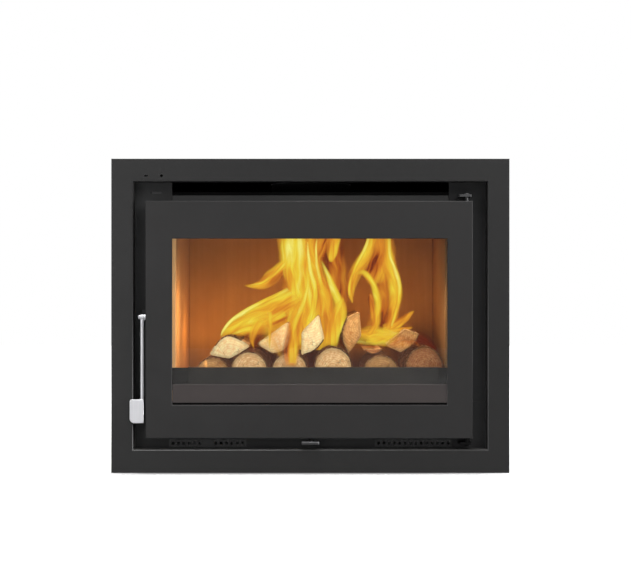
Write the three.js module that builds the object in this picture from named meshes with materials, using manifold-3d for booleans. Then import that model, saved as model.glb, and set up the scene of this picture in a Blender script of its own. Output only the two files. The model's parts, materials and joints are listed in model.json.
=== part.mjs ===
// Wood-burning fireplace insert: a convection casing around a lined firebox, closed by a glazed
// side-hung door and framed by a flat surround that covers the edge of the hearth opening.
// Millimetres. +X to the right as seen from the room, +Y into the wall, +Z up.
// While it is built, y = 0 is the front face of the surround and z = 0 the hearth under the feet.

import * as THREE from 'three';
import { mergeVertices } from 'three/addons/utils/BufferGeometryUtils.js';
import Module from 'manifold-3d';

// ---------------------------------------------------------------- driving dimensions

const seatGap = 0.3; // left between pieces that rest on each other
const runGap = 0.35; // radial play of a pin in its hole

// surround
const surroundWidth = 700;
const surroundHeight = 552.6;
const surroundLift = 3; // lower edge above the hearth
const surroundSheet = 4;
const surroundSideBar = 38.5;
const surroundTopBar = 39.8;
const surroundBottomBar = 41.1;
const returnSheet = 2.5; // flange folded back round the opening
const markSlotInset = 61.1; // centre from the surround's left edge
const markSlotLength = 7.3;
const markSlotHeight = 3;
const markHoleInset = 88.3;
const markHoleRadius = 2.8;
const markDrop = 30; // below the top edge of the surround

// front plates, set back behind the surround
const frontSetback = 32;
const frontSheet = 3;
const cheekWidth = 71.7; // from the casing's side to the fire opening
const sillRise = 4; // sill above the lower edge of the window
const lintelRise = 16; // lower edge of the lintel above the window
const slotRise = 11.8; // lower edge of the warm-air slot above the door

// casing
const surroundLap = 32; // surround beyond the casing at each side
const casingDepth = 360; // from the back of the front plates to the rear face
const casingBottom = 25;
const casingRise = 14.2; // casing's top above the surround's opening
const casingSheet = 3;

// firebox and lining
const liningReveal = 6.3; // lining inside the edge of the fire opening
const chamberDepth = 284;
const hearthRise = 19; // hearth above the sill
const liningRise = 1; // lining above the lower edge of the lintel
const liningThickness = 25;
const floorLining = 20;
const fireboxPlate = 4;
const fireboxRise = 6; // firebox above the lower edge of the warm-air slot
const baffleThickness = 25;
const baffleThroat = 85; // way for the smoke between the front plates and the baffle
const deflectorHeight = 15.7;
const deflectorSheet = 3;
const deflectorInset = 43;
const deflectorDepth = 180;

// flue collar and outside-air spigot
const flueRadius = 75;
const flueWall = 4;
const flueRise = 36; // above the casing
const flueFlangeRadius = 92;
const flueFlange = 4;
const fluePlay = 2; // round the collar in the casing's top plate
const flueSetback = 210; // centre behind the front plates
const spigotRadius = 40;
const spigotWall = 1.5;
const spigotReach = 40; // behind the rear face
const spigotInsert = 12; // into the duct
const spigotFlangeRadius = 52;
const spigotFlange = 2;
const spigotPlay = 1;

// air duct, valve plate and pull control
const ductSheet = 2;
const ductHalfWidth = 45;
const ductBottom = 34.5;
const ductLength = 199.7;
const valveHalfWidth = 38;
const valveDrop = 7.4; // plate below the top of the duct
const valveSheet = 2;
const controlRise = 11.9; // rod above the lower edge of the surround's opening
const controlRodRadius = 3.5;
const controlRodFront = 3;
const knobWidth = 31;
const knobDepth = 12;
const knobThickness = 5;
const knobCorner = 2;

// room-air grilles
const grilleOverhang = 5.2; // outer end beyond the fire opening
const grilleWidth = 137.5;
const grilleRise = 0.9; // lower edge above the surround's opening
const grilleHeight = 14.5;
const grilleSheet = 1.2;
const grilleLap = 3.5; // onto the sill round the cut-out behind it
const grilleHoleRadius = 2.5;
const grillePitch = 9.5;
const grilleHoleRise = 7.5; // hole centres above the lower edge
const grilleMargin = 7.3; // first hole from the grille's end
const grilleGroupStep = 75.9; // from the first group of the left grille to the second
const grilleRightCount = 14;
const grilleLeftCount = 6;

// levelling feet
const footSideInset = 33;
const footFrontInset = 35;
const footRearInset = 37;
const footPadRadius = 18;
const footPad = 6;
const footStemRadius = 6;
const footStemTop = 50;
const footNutRadius = 12;
const footNut = 10;

// door
const doorGapLeft = 22;
const doorGapRight = 26.5;
const doorGapBottom = 20.3;
const doorGapTop = 34.6;
const doorProud = 4; // in front of the surround
const doorSheet = 3;
const doorDepth = 22;
const doorStileLeft = 46.8;
const doorStileRight = 44.5;
const doorTopRail = 66.2;
const doorBottomRail = 58.6;
const glassThickness = 4;
const glassLap = 10;
const glassRailBottomGap = 4;
const glassRailHeight = 32.3;
const glassRailFoot = 2.6;
const glassRailTop = 1.4;
const retainerSheet = 3;
const retainerLap = 4; // inner edge outside the window
const ropeMargin = 5; // inner edge of the rope outside the fire opening
const ropeWidth = 12;
const ropeThickness = 9.1;
const ropeCorner = 14;
const retainerLip = 4; // retainer beyond the rope

// hinge
const hingeInset = 9.3; // axis from the door's right edge
const hingeSetback = 8; // axis behind the surround's face
const hingePinRadius = 3;
const hingePinReach = 14; // into the door
const hingeHeadRadius = 4.4;
const hingeHead = 2;
const hingeCollarRadius = 5.5;
const bracketThickness = 4;
const bracketCorner = 2.4;
const bracketLeft = 14; // left of the axis
const bracketRight = 8; // right of the axis
const bracketFront = 7; // in front of the axis
const upperBracketRise = 7.8; // underside above the door
const lowerBracketDrop = 7.5; // top below the door
const spareSlotLength = 19;
const spareSlotHeight = 3.5;
const spareSlotRise = 5; // centre above the lintel's top edge
const spareSlotInset = 44; // centre from the casing's side

// door handle and latch
const handleInset = 6.6; // rod centre from the door's left edge
const handleSetback = 1; // rod centre behind the surround's face
const handleRodRadius = 3.15;
const handlePivotDrop = 204; // pivot below the door's top edge
const handleLength = 186; // from the pivot to the lower end
const handleEyeRadius = 4.8;
const handlePinRadius = 2.2;
const handlePinHeadRadius = 3.8;
const handlePinHead = 3;
const handleBossRadius = 4.4;
const paddleWidth = 24.2;
const paddleHeight = 41.7;
const paddleThickness = 3;
const paddleCornerTop = 4;
const paddleCornerBottom = 10;
const hookSheet = 3;
const hookReach = 26; // rear of the nose behind the pivot
const hookNose = 6;
const hookDrop = 7; // top of the arm below the pivot
const hookArm = 8;
const hookRise = 4; // top of the nose above the pivot
const keeperWidth = 13.6;
const keeperDepth = 12.2;
const keeperHeight = 8;
const keeperGap = 0.5;

// log guard
const guardGapLeft = 21; // from the lining
const guardGapRight = 10;
const guardHeight = 40.5;
const guardSheet = 3;
const guardSetback = 9; // front face behind the back of the front plates
const guardFoot = 8;

// firewood: end faces in log diameters from the middle of the hearth, lengths in chamber depths
const logRatio = 0.1416; // average log diameter to the width of the chamber
const logClearance = 7.7; // behind the log guard
const roundLogs = [
  { x: -2.587, width: 0.912, height: 0.862, length: 0.817, start: 0.007 },
  { x: -1.621, width: 1.007, height: 1.021, length: 0.866, start: 0 },
  { x: -0.551, width: 0.991, height: 0.994, length: 0.838, start: 0.014 },
  { x: 0.597, width: 1.044, height: 1.138, length: 0.88, start: 0 },
  { x: 1.863, width: 0.971, height: 0.915, length: 0.845, start: 0.018 },
  { x: 3.003, width: 1.022, height: 1.151, length: 0.831, start: 0.004 },
];

// split logs: corners of the end face from its lowest one, the side with bark and how far it bulges
const splitLogs = [
  {
    x: -2.135, corners: [[0, 0], [0.559, 0.338], [-0.563, 0.113]], bark: 1, bulge: 0.426,
    length: 0.792, start: 0.021, skew: -0.06,
  },
  {
    x: -0.987, corners: [[0, 0], [0.515, 0.412], [0.397, 0.882], [-0.456, 0.279]], bark: 0, bulge: 0.118,
    length: 0.817, start: 0.035, skew: 0.06,
  },
  {
    x: -0.249, corners: [[0, 0], [0.632, 0.426], [0.471, 1.103], [0, 0.632]], bark: 0, bulge: 0.103,
    length: 0.803, start: 0.011, skew: 0.03,
  },
  {
    x: 1, corners: [[0, 0], [0.353, 0.471], [0.294, 1.147], [-0.029, 0.985]], bark: 3, bulge: 0.176,
    length: 0.831, start: 0.028, skew: 0,
  },
  {
    x: 1.662, corners: [[-0.265, 0], [0.265, 0.015]], bark: 0, bulge: 0.162,
    length: 0.739, start: 0.077, skew: 0,
  },
  {
    x: 2.382, corners: [[0, 0], [0.515, 0.515], [0.118, 0.647], [-0.412, 0.221]], bark: 0, bulge: 0.103,
    length: 0.81, start: 0.025, skew: 0.12,
  },
];
const logSides = 20;
const barkSteps = 7;
const cornerStep = 1e-4; // either side of a corner, where outlines are compared

// ---------------------------------------------------------------- places worked out from them

const openingLeft = -surroundWidth / 2 + surroundSideBar;
const openingRight = surroundWidth / 2 - surroundSideBar;
const openingBottom = surroundLift + surroundBottomBar;
const openingTop = surroundLift + surroundHeight - surroundTopBar;
const doorLeft = openingLeft + doorGapLeft;
const doorRight = openingRight - doorGapRight;
const doorBottom = openingBottom + doorGapBottom;
const doorTop = openingTop - doorGapTop;
const doorFront = -doorProud;
const doorSheetBack = doorFront + doorSheet;
const windowLeft = doorLeft + doorStileLeft;
const windowRight = doorRight - doorStileRight;
const windowBottom = doorBottom + doorBottomRail;
const windowTop = doorTop - doorTopRail;
const glassFront = doorSheetBack + seatGap;
const glassBack = glassFront + glassThickness;
const frontBack = frontSetback + frontSheet;
const innerFront = frontBack + seatGap;
const casingHalf = surroundWidth / 2 - surroundLap;
const casingTop = openingTop + casingRise;
const casingRear = frontBack + casingDepth;
const fireOpeningHalf = casingHalf - cheekWidth;
const sillTop = windowBottom + sillRise;
const lintelBottom = windowTop + lintelRise;
const lintelTop = doorTop + slotRise;
const ropeOuter = ropeMargin + ropeWidth;
const ropeFront = frontSetback - seatGap - ropeThickness;
const retainerBack = ropeFront - seatGap;
const grilleOuter = fireOpeningHalf + grilleOverhang;
const grilleInner = grilleOuter - grilleWidth;
const grilleBottom = openingBottom + grilleRise;
const grilleTop = grilleBottom + grilleHeight;
const grilleHoleHeight = grilleBottom + grilleHoleRise;
const chamberHalf = fireOpeningHalf - liningReveal;
const liningRear = innerFront + chamberDepth + liningThickness;
const liningTop = lintelBottom + liningRise;
const fireboxHalf = chamberHalf + liningThickness + seatGap + fireboxPlate;
const fireboxRear = liningRear + seatGap + fireboxPlate;
const fireboxTop = lintelTop + fireboxRise;
const hearthTop = sillTop + hearthRise;
const floorPlateTop = hearthTop - floorLining - seatGap;
const floorPlateBottom = floorPlateTop - fireboxPlate;
const wallFoot = floorPlateTop + seatGap;
const wallTop = fireboxTop - fireboxPlate - seatGap;
const baffleBottom = liningTop + seatGap;
const baffleTop = baffleBottom + baffleThickness;
const flueCentre = innerFront + flueSetback;
const flueTop = casingTop + flueRise;
const ductTop = floorPlateBottom - seatGap;
const ductFront = casingRear - casingSheet - seatGap - ductLength;
const spigotHeight = (ductBottom + ductTop) / 2;
const spigotEnd = casingRear + spigotReach;
const controlHeight = openingBottom + controlRise;
const knobFront = controlRodFront - knobDepth;
const hingeX = doorRight - hingeInset;
const handleX = doorLeft - handleInset;
const handlePivot = doorTop - handlePivotDrop;
const guardFront = innerFront + guardSetback;
const frontMost = Math.min(knobFront, doorFront, handleSetback - handleRodRadius - paddleThickness);

// ---------------------------------------------------------------- finishes

function finish(color, roughness, metalness) {
  return new THREE.MeshStandardMaterial({ color, roughness, metalness });
}

const blackSteel = finish(0x393b3c, 0.62, 0.35);
const doorSteel = finish(0x3c3d3e, 0.58, 0.35);
const bareSteel = finish(0x8a8c8e, 0.4, 0.9);
const satinSteel = finish(0xc9ced2, 0.32, 0.95);
const sheetSteel = finish(0x6f7274, 0.5, 0.8);
const castIron = finish(0x33322f, 0.8, 0.4);
const lining = finish(0xb0713c, 0.95, 0);
const rope = finish(0x2a2826, 1, 0);
const wood = finish(0xc9a273, 0.9, 0);
const glass = finish(0x1c1a18, 0.05, 0);
glass.transparent = true;
glass.opacity = 0.3;

// ---------------------------------------------------------------- shape helpers

const wasm = await Module();
wasm.setup();

const insert = new THREE.Group();

function add(name, geometry, material) {
  const mesh = new THREE.Mesh(geometry, material);
  mesh.name = name;
  insert.add(mesh);
}

function toSolid(geometry) {
  const bare = geometry.clone();
  bare.deleteAttribute('normal');
  bare.deleteAttribute('uv');
  const merged = mergeVertices(bare, 1e-4);
  const vertProperties = Float32Array.from(merged.attributes.position.array);
  const triVerts = Uint32Array.from(merged.index.array);
  return new wasm.Manifold(new wasm.Mesh({ numProp: 3, vertProperties, triVerts }));
}

function toGeometry(solid) {
  const mesh = solid.getMesh();
  const geometry = new THREE.BufferGeometry();
  geometry.setAttribute('position', new THREE.BufferAttribute(mesh.vertProperties, 3));
  geometry.setIndex(new THREE.BufferAttribute(mesh.triVerts, 1));
  geometry.computeVertexNormals();
  return geometry;
}

function joined(...geometries) {
  return geometries.map(toSolid).reduce((whole, piece) => whole.add(piece));
}

const pierced = (geometry, ...cuts) => toGeometry(toSolid(geometry).subtract(joined(...cuts)));

function block(x0, x1, y0, y1, z0, z1) {
  const geometry = new THREE.BoxGeometry(x1 - x0, y1 - y0, z1 - z0);
  geometry.translate((x0 + x1) / 2, (y0 + y1) / 2, (z0 + z1) / 2);
  return geometry;
}

function rectangle(left, right, low, high, path = new THREE.Shape()) {
  path.moveTo(left, low);
  path.lineTo(right, low);
  path.lineTo(right, high);
  path.lineTo(left, high);
  path.closePath();
  return path;
}

function roundedRectangle(left, right, low, high, radius, path = new THREE.Shape()) {
  path.moveTo(left + radius, low);
  path.lineTo(right - radius, low);
  path.absarc(right - radius, low + radius, radius, -Math.PI / 2, 0, false);
  path.lineTo(right, high - radius);
  path.absarc(right - radius, high - radius, radius, 0, Math.PI / 2, false);
  path.lineTo(left + radius, high);
  path.absarc(left + radius, high - radius, radius, Math.PI / 2, Math.PI, false);
  path.lineTo(left, low + radius);
  path.absarc(left + radius, low + radius, radius, Math.PI, Math.PI * 1.5, false);
  return path;
}

function circle(x, y, radius, sides = 24) {
  const points = [];
  for (let i = 0; i < sides; i += 1) {
    const turn = ((i + 0.5) / sides) * Math.PI * 2;
    points.push(new THREE.Vector2(x + Math.cos(turn) * radius, y + Math.sin(turn) * radius));
  }
  return points;
}

const circleHole = (x, y, radius, sides) => new THREE.Path(circle(x, y, radius, sides));

function extruded(shape, depth, curveSegments) {
  return new THREE.ExtrudeGeometry(shape, { depth, bevelEnabled: false, curveSegments });
}

// a shape drawn in x and z, as thick as it is deep in y
function upright(shape, front, back, curveSegments = 6) {
  const geometry = extruded(shape, back - front, curveSegments);
  geometry.rotateX(Math.PI / 2);
  geometry.translate(0, back, 0);
  return geometry;
}

// a shape drawn in x and y, lying flat
function level(shape, low, high, curveSegments = 6) {
  const geometry = extruded(shape, high - low, curveSegments);
  geometry.translate(0, 0, low);
  return geometry;
}

// a shape drawn in y and z, standing across the object
function crosswise(shape, left, right, curveSegments = 6) {
  const geometry = extruded(shape, right - left, curveSegments);
  geometry.rotateX(Math.PI / 2);
  geometry.rotateZ(Math.PI / 2);
  geometry.translate(left, 0, 0);
  return geometry;
}

function rodUp(radius, low, high, sides = 20) {
  const geometry = new THREE.CylinderGeometry(radius, radius, high - low, sides);
  geometry.rotateX(Math.PI / 2);
  geometry.translate(0, 0, (low + high) / 2);
  return geometry;
}

function rodAlongX(radius, left, right, sides = 16) {
  const geometry = new THREE.CylinderGeometry(radius, radius, right - left, sides);
  geometry.rotateZ(Math.PI / 2);
  geometry.translate((left + right) / 2, 0, 0);
  return geometry;
}

function rodAlongY(radius, front, back, sides = 16) {
  const geometry = new THREE.CylinderGeometry(radius, radius, back - front, sides);
  geometry.translate(0, (front + back) / 2, 0);
  return geometry;
}

// a turned piece about the z axis from [radius, height] points
function turned(points, sides = 24) {
  const profile = points.map(([radius, height]) => new THREE.Vector2(radius, height));
  const geometry = new THREE.LatheGeometry(profile, sides);
  geometry.rotateX(Math.PI / 2);
  return geometry;
}

// ---------------------------------------------------------------- surround

function surroundFrame() {
  const low = surroundLift;
  const high = surroundLift + surroundHeight;
  const plate = rectangle(-surroundWidth / 2, surroundWidth / 2, low, high);
  plate.holes.push(rectangle(openingLeft, openingRight, openingBottom, openingTop, new THREE.Path()));
  const flange = rectangle(
    openingLeft - returnSheet, openingRight + returnSheet,
    openingBottom - returnSheet, openingTop + returnSheet,
  );
  flange.holes.push(rectangle(openingLeft, openingRight, openingBottom, openingTop, new THREE.Path()));
  const frame = joined(
    upright(plate, 0, surroundSheet),
    upright(flange, surroundSheet / 2, frontSetback - seatGap),
  );
  const markHeight = high - markDrop;
  const markSlotX = markSlotInset - surroundWidth / 2;
  const markHoleX = markHoleInset - surroundWidth / 2;
  const slot = roundedRectangle(
    markSlotX - markSlotLength / 2, markSlotX + markSlotLength / 2,
    markHeight - markSlotHeight / 2, markHeight + markSlotHeight / 2, markSlotHeight / 2.1,
  );
  const hole = new THREE.Shape(circle(markHoleX, markHeight, markHoleRadius));
  const cuts = joined(upright(slot, -1, surroundSheet + 1), upright(hole, -1, surroundSheet + 1));
  return toGeometry(frame.subtract(cuts));
}

add('surround_frame', surroundFrame(), blackSteel);

// ---------------------------------------------------------------- front plates

function cheek(side) {
  const inner = side * fireOpeningHalf;
  const outer = side * casingHalf;
  const plate = rectangle(Math.min(inner, outer), Math.max(inner, outer), sillTop + seatGap, casingTop);
  if (side < 0) {
    const centre = lintelTop + spareSlotRise;
    const spareSlotCentre = spareSlotInset - casingHalf;
    plate.holes.push(roundedRectangle(
      spareSlotCentre - spareSlotLength / 2, spareSlotCentre + spareSlotLength / 2,
      centre - spareSlotHeight / 2, centre + spareSlotHeight / 2, spareSlotHeight / 2.1, new THREE.Path(),
    ));
  }
  return upright(plate, frontSetback, frontBack);
}

function sill() {
  const rodHole = rodAlongY(controlRodRadius + runGap, frontSetback - 1, frontBack + 1);
  rodHole.translate(0, 0, controlHeight);
  const windows = [-1, 1].map((side) => {
    const near = side * (grilleInner + grilleLap);
    const far = side * (grilleOuter - grilleLap);
    return block(
      Math.min(near, far), Math.max(near, far), frontSetback - 1, frontBack + 1,
      grilleBottom + grilleLap, grilleTop - grilleLap,
    );
  });
  const plate = block(-casingHalf, casingHalf, frontSetback, frontBack, casingBottom, sillTop);
  return pierced(plate, rodHole, ...windows);
}

function grille(left, right, holes) {
  const back = frontSetback - seatGap;
  const cuts = holes.map((x) => {
    const hole = rodAlongY(grilleHoleRadius, back - grilleSheet - 1, back + 1, 12);
    hole.translate(x, 0, grilleHoleHeight);
    return hole;
  });
  return pierced(block(left, right, back - grilleSheet, back, grilleBottom, grilleTop), ...cuts);
}

const holeRow = (first, count) => Array.from({ length: count }, (_, i) => first + i * grillePitch);
const lintelHalf = fireOpeningHalf - seatGap;

add('front_cheek_left', cheek(-1), blackSteel);
add('front_cheek_right', cheek(1), blackSteel);
add('front_lintel', block(
  -lintelHalf, lintelHalf, frontSetback, frontBack, lintelBottom, lintelTop,
), blackSteel);
add('front_sill', sill(), blackSteel);
const leftFirst = grilleMargin - grilleOuter;
const rightFirst = grilleMargin + grilleInner;
add('air_grille_left', grille(-grilleOuter, -grilleInner, [
  ...holeRow(leftFirst, grilleLeftCount),
  ...holeRow(leftFirst + grilleGroupStep, grilleLeftCount),
]), blackSteel);
add('air_grille_right', grille(grilleInner, grilleOuter, holeRow(rightFirst, grilleRightCount)), blackSteel);

// ---------------------------------------------------------------- casing

function casingTopPlate() {
  const plate = rectangle(-casingHalf, casingHalf, innerFront, casingRear);
  plate.holes.push(circleHole(0, flueCentre, flueRadius + fluePlay, 40));
  return level(plate, casingTop - casingSheet, casingTop);
}

const footX = casingHalf - footSideInset;
const feet = [
  [-footX, innerFront + footFrontInset],
  [footX, innerFront + footFrontInset],
  [-footX, casingRear - footRearInset],
  [footX, casingRear - footRearInset],
];

function casingBase() {
  const high = casingBottom + casingSheet;
  const cuts = feet.map(([x, y]) => {
    const hole = rodUp(footStemRadius + runGap, casingBottom - 1, high + 1);
    hole.translate(x, y, 0);
    return hole;
  });
  return pierced(block(-casingHalf, casingHalf, innerFront, casingRear, casingBottom, high), ...cuts);
}

function casingBack() {
  const low = casingBottom + casingSheet + seatGap;
  const high = casingTop - casingSheet - seatGap;
  const plate = rectangle(-casingHalf, casingHalf, low, high);
  plate.holes.push(circleHole(0, spigotHeight, spigotRadius + spigotPlay, 32));
  return upright(plate, casingRear - casingSheet, casingRear);
}

function casingSide(side) {
  const outer = side * casingHalf;
  const inner = side * (casingHalf - casingSheet);
  return block(
    Math.min(inner, outer), Math.max(inner, outer), innerFront, casingRear - casingSheet - seatGap,
    casingBottom + casingSheet + seatGap, casingTop - casingSheet - seatGap,
  );
}

add('casing_left', casingSide(-1), sheetSteel);
add('casing_right', casingSide(1), sheetSteel);
add('casing_back', casingBack(), sheetSteel);
add('casing_top', casingTopPlate(), sheetSteel);
add('casing_base', casingBase(), sheetSteel);

function levellingFoot(x, y) {
  const nutTop = casingBottom - seatGap;
  const foot = turned([
    [0, 0],
    [footPadRadius, 0],
    [footPadRadius, footPad * 0.5],
    [footStemRadius, footPad],
    [footStemRadius, nutTop - footNut],
    [footNutRadius, nutTop - footNut],
    [footNutRadius, nutTop],
    [footStemRadius, nutTop],
    [footStemRadius, footStemTop],
    [0, footStemTop],
  ], 18);
  foot.translate(x, y, 0);
  return foot;
}

feet.forEach(([x, y], i) => add(`levelling_foot_${i + 1}`, levellingFoot(x, y), bareSteel));

// ---------------------------------------------------------------- firebox

function fireboxTopPlate() {
  const plate = rectangle(-fireboxHalf, fireboxHalf, innerFront, fireboxRear);
  plate.holes.push(circleHole(0, flueCentre, flueRadius - flueWall, 40));
  return level(plate, fireboxTop - fireboxPlate, fireboxTop);
}

function fireboxSide(side) {
  const outer = side * fireboxHalf;
  const inner = side * (fireboxHalf - fireboxPlate);
  return block(Math.min(inner, outer), Math.max(inner, outer), innerFront, fireboxRear, wallFoot, wallTop);
}

const backHalf = fireboxHalf - fireboxPlate - seatGap;
const sideLiningHalf = chamberHalf + liningThickness;
const floorHalf = chamberHalf - seatGap;

add('firebox_left', fireboxSide(-1), castIron);
add('firebox_right', fireboxSide(1), castIron);
add('firebox_back', block(
  -backHalf, backHalf, fireboxRear - fireboxPlate, fireboxRear, wallFoot, wallTop,
), castIron);
add('firebox_top', fireboxTopPlate(), castIron);
add('firebox_floor', block(
  -fireboxHalf, fireboxHalf, innerFront, fireboxRear, floorPlateBottom, floorPlateTop,
), castIron);

add('hearth_brick', block(
  -floorHalf, floorHalf, innerFront, liningRear, hearthTop - floorLining, hearthTop,
), lining);
add('lining_left', block(-sideLiningHalf, -chamberHalf, innerFront, liningRear, wallFoot, liningTop), lining);
add('lining_right', block(chamberHalf, sideLiningHalf, innerFront, liningRear, wallFoot, liningTop), lining);
add('lining_back', block(
  -floorHalf, floorHalf, liningRear - liningThickness, liningRear, hearthTop + seatGap, liningTop,
), lining);
add('smoke_baffle', block(
  -sideLiningHalf + seatGap, sideLiningHalf - seatGap,
  innerFront + baffleThroat, liningRear, baffleBottom, baffleTop,
), lining);

function smokeDeflector() {
  const half = sideLiningHalf - deflectorInset;
  const foot = baffleTop + seatGap;
  const top = foot + deflectorHeight;
  const section = new THREE.Shape();
  section.moveTo(-half, foot);
  section.lineTo(-half + deflectorSheet, foot);
  section.lineTo(-half + deflectorSheet, top - deflectorSheet);
  section.lineTo(half - deflectorSheet, top - deflectorSheet);
  section.lineTo(half - deflectorSheet, foot);
  section.lineTo(half, foot);
  section.lineTo(half, top);
  section.lineTo(-half, top);
  section.closePath();
  const front = innerFront + baffleThroat + seatGap;
  return upright(section, front, front + deflectorDepth);
}

add('smoke_deflector', smokeDeflector(), castIron);

function logGuard() {
  const foot = hearthTop + seatGap;
  const section = new THREE.Shape();
  section.moveTo(guardFront - guardFoot, foot);
  section.lineTo(guardFront + guardSheet, foot);
  section.lineTo(guardFront + guardSheet, foot + guardHeight);
  section.lineTo(guardFront, foot + guardHeight);
  section.lineTo(guardFront, foot + guardSheet);
  section.lineTo(guardFront - guardFoot, foot + guardSheet);
  section.closePath();
  return crosswise(section, guardGapLeft - chamberHalf, chamberHalf - guardGapRight);
}

add('log_guard', logGuard(), castIron);

// ---------------------------------------------------------------- flue collar and air supply

function flueCollar() {
  const low = fireboxTop + seatGap;
  const collar = turned([
    [flueRadius - flueWall, low],
    [flueFlangeRadius, low],
    [flueFlangeRadius, low + flueFlange],
    [flueRadius, low + flueFlange],
    [flueRadius, flueTop],
    [flueRadius - flueWall, flueTop],
    [flueRadius - flueWall, low],
  ], 40);
  collar.translate(0, flueCentre, 0);
  return collar;
}

function airSpigot() {
  const inner = spigotRadius - spigotWall;
  const flange = casingRear + seatGap;
  const spigot = turned([
    [inner, -spigotEnd],
    [spigotRadius, -spigotEnd],
    [spigotRadius, -flange - spigotFlange],
    [spigotFlangeRadius, -flange - spigotFlange],
    [spigotFlangeRadius, -flange],
    [spigotRadius, -flange],
    [spigotRadius, -casingRear + casingSheet + spigotInsert],
    [inner, -casingRear + casingSheet + spigotInsert],
    [inner, -spigotEnd],
  ], 32);
  spigot.rotateX(Math.PI / 2);
  spigot.translate(0, 0, spigotHeight);
  return spigot;
}

function airDuct() {
  const section = rectangle(-ductHalfWidth, ductHalfWidth, ductBottom, ductTop);
  const inner = ductHalfWidth - ductSheet;
  section.holes.push(rectangle(-inner, inner, ductBottom + ductSheet, ductTop - ductSheet, new THREE.Path()));
  return upright(section, ductFront, ductFront + ductLength);
}

add('flue_collar', flueCollar(), castIron);
add('air_spigot', airSpigot(), sheetSteel);
add('air_duct', airDuct(), sheetSteel);

const valveFront = ductFront - seatGap - valveSheet;

function controlRod() {
  const rod = rodAlongY(controlRodRadius, controlRodFront, valveFront - seatGap);
  rod.translate(0, 0, controlHeight);
  return rod;
}

function controlKnob() {
  const outline = roundedRectangle(
    -knobWidth / 2, knobWidth / 2, knobFront, controlRodFront - seatGap, knobCorner,
  );
  return level(outline, controlHeight - knobThickness / 2, controlHeight + knobThickness / 2, 4);
}

add('air_control_knob', controlKnob(), satinSteel);
add('air_control_rod', controlRod(), bareSteel);
add('air_valve_plate', block(
  -valveHalfWidth, valveHalfWidth, valveFront, valveFront + valveSheet,
  casingBottom + casingSheet + seatGap, ductTop - valveDrop,
), sheetSteel);

// ---------------------------------------------------------------- hinge

const bracketBack = frontSetback - seatGap;
const upperBracket = doorTop + upperBracketRise;
const lowerBracket = doorBottom - lowerBracketDrop - bracketThickness;

function hingeBracket(low) {
  const plate = roundedRectangle(
    hingeX - bracketLeft, hingeX + bracketRight,
    hingeSetback - bracketFront, bracketBack, bracketCorner,
  );
  plate.holes.push(circleHole(hingeX, hingeSetback, hingePinRadius + runGap));
  return level(plate, low, low + bracketThickness);
}

function upperPin() {
  const head = upperBracket + bracketThickness + seatGap;
  const pin = turned([
    [0, doorTop - hingePinReach],
    [hingePinRadius, doorTop - hingePinReach],
    [hingePinRadius, head],
    [hingeHeadRadius, head],
    [hingeHeadRadius, head + hingeHead],
    [0, head + hingeHead],
  ], 20);
  pin.translate(hingeX, hingeSetback, 0);
  return pin;
}

function lowerPin() {
  const head = lowerBracket - seatGap;
  const collar = lowerBracket + bracketThickness + seatGap;
  const pin = turned([
    [0, head - hingeHead],
    [hingeHeadRadius, head - hingeHead],
    [hingeHeadRadius, head],
    [hingePinRadius, head],
    [hingePinRadius, collar],
    [hingeCollarRadius, collar],
    [hingeCollarRadius, doorBottom - seatGap],
    [hingePinRadius, doorBottom - seatGap],
    [hingePinRadius, doorBottom + hingePinReach],
    [0, doorBottom + hingePinReach],
  ], 20);
  pin.translate(hingeX, hingeSetback, 0);
  return pin;
}

add('hinge_bracket_upper', hingeBracket(upperBracket), blackSteel);
add('hinge_bracket_lower', hingeBracket(lowerBracket), blackSteel);
add('hinge_pin_upper', upperPin(), bareSteel);
add('hinge_pin_lower', lowerPin(), bareSteel);

// ---------------------------------------------------------------- door

function doorFrame() {
  const sheet = rectangle(doorLeft, doorRight, doorBottom, doorTop);
  sheet.holes.push(rectangle(windowLeft, windowRight, windowBottom, windowTop, new THREE.Path()));
  const rim = rectangle(doorLeft, doorRight, doorBottom, doorTop);
  rim.holes.push(rectangle(
    doorLeft + doorSheet, doorRight - doorSheet,
    doorBottom + doorSheet, doorTop - doorSheet, new THREE.Path(),
  ));
  const boss = rodAlongX(handleBossRadius, handleX + handleRodRadius + seatGap, doorLeft + doorSheet / 2);
  boss.translate(0, handleSetback, handlePivot);
  const body = joined(
    upright(sheet, doorFront, doorSheetBack),
    upright(rim, doorFront + doorSheet / 2, doorFront + doorDepth),
    boss,
  );
  const pinBore = rodUp(hingePinRadius + runGap, doorBottom - 1, doorTop + 1);
  pinBore.translate(hingeX, hingeSetback, 0);
  const pivotBore = rodAlongX(handlePinRadius + runGap, handleX, doorLeft + doorSheet * 2);
  pivotBore.translate(0, handleSetback, handlePivot);
  return toGeometry(body.subtract(joined(pinBore, pivotBore)));
}

function doorGlass() {
  const pane = rectangle(
    windowLeft - glassLap, windowRight + glassLap,
    windowBottom - glassLap, windowTop + glassLap,
  );
  return upright(pane, glassFront, glassBack);
}

function glassRail() {
  const low = windowBottom + glassRailBottomGap;
  const high = low + glassRailHeight;
  const back = glassFront - seatGap;
  const section = new THREE.Shape();
  section.moveTo(back - glassRailFoot, low);
  section.lineTo(back, low);
  section.lineTo(back, high);
  section.lineTo(back - glassRailTop, high);
  section.closePath();
  return crosswise(section, windowLeft + seatGap, windowRight - seatGap);
}

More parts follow.
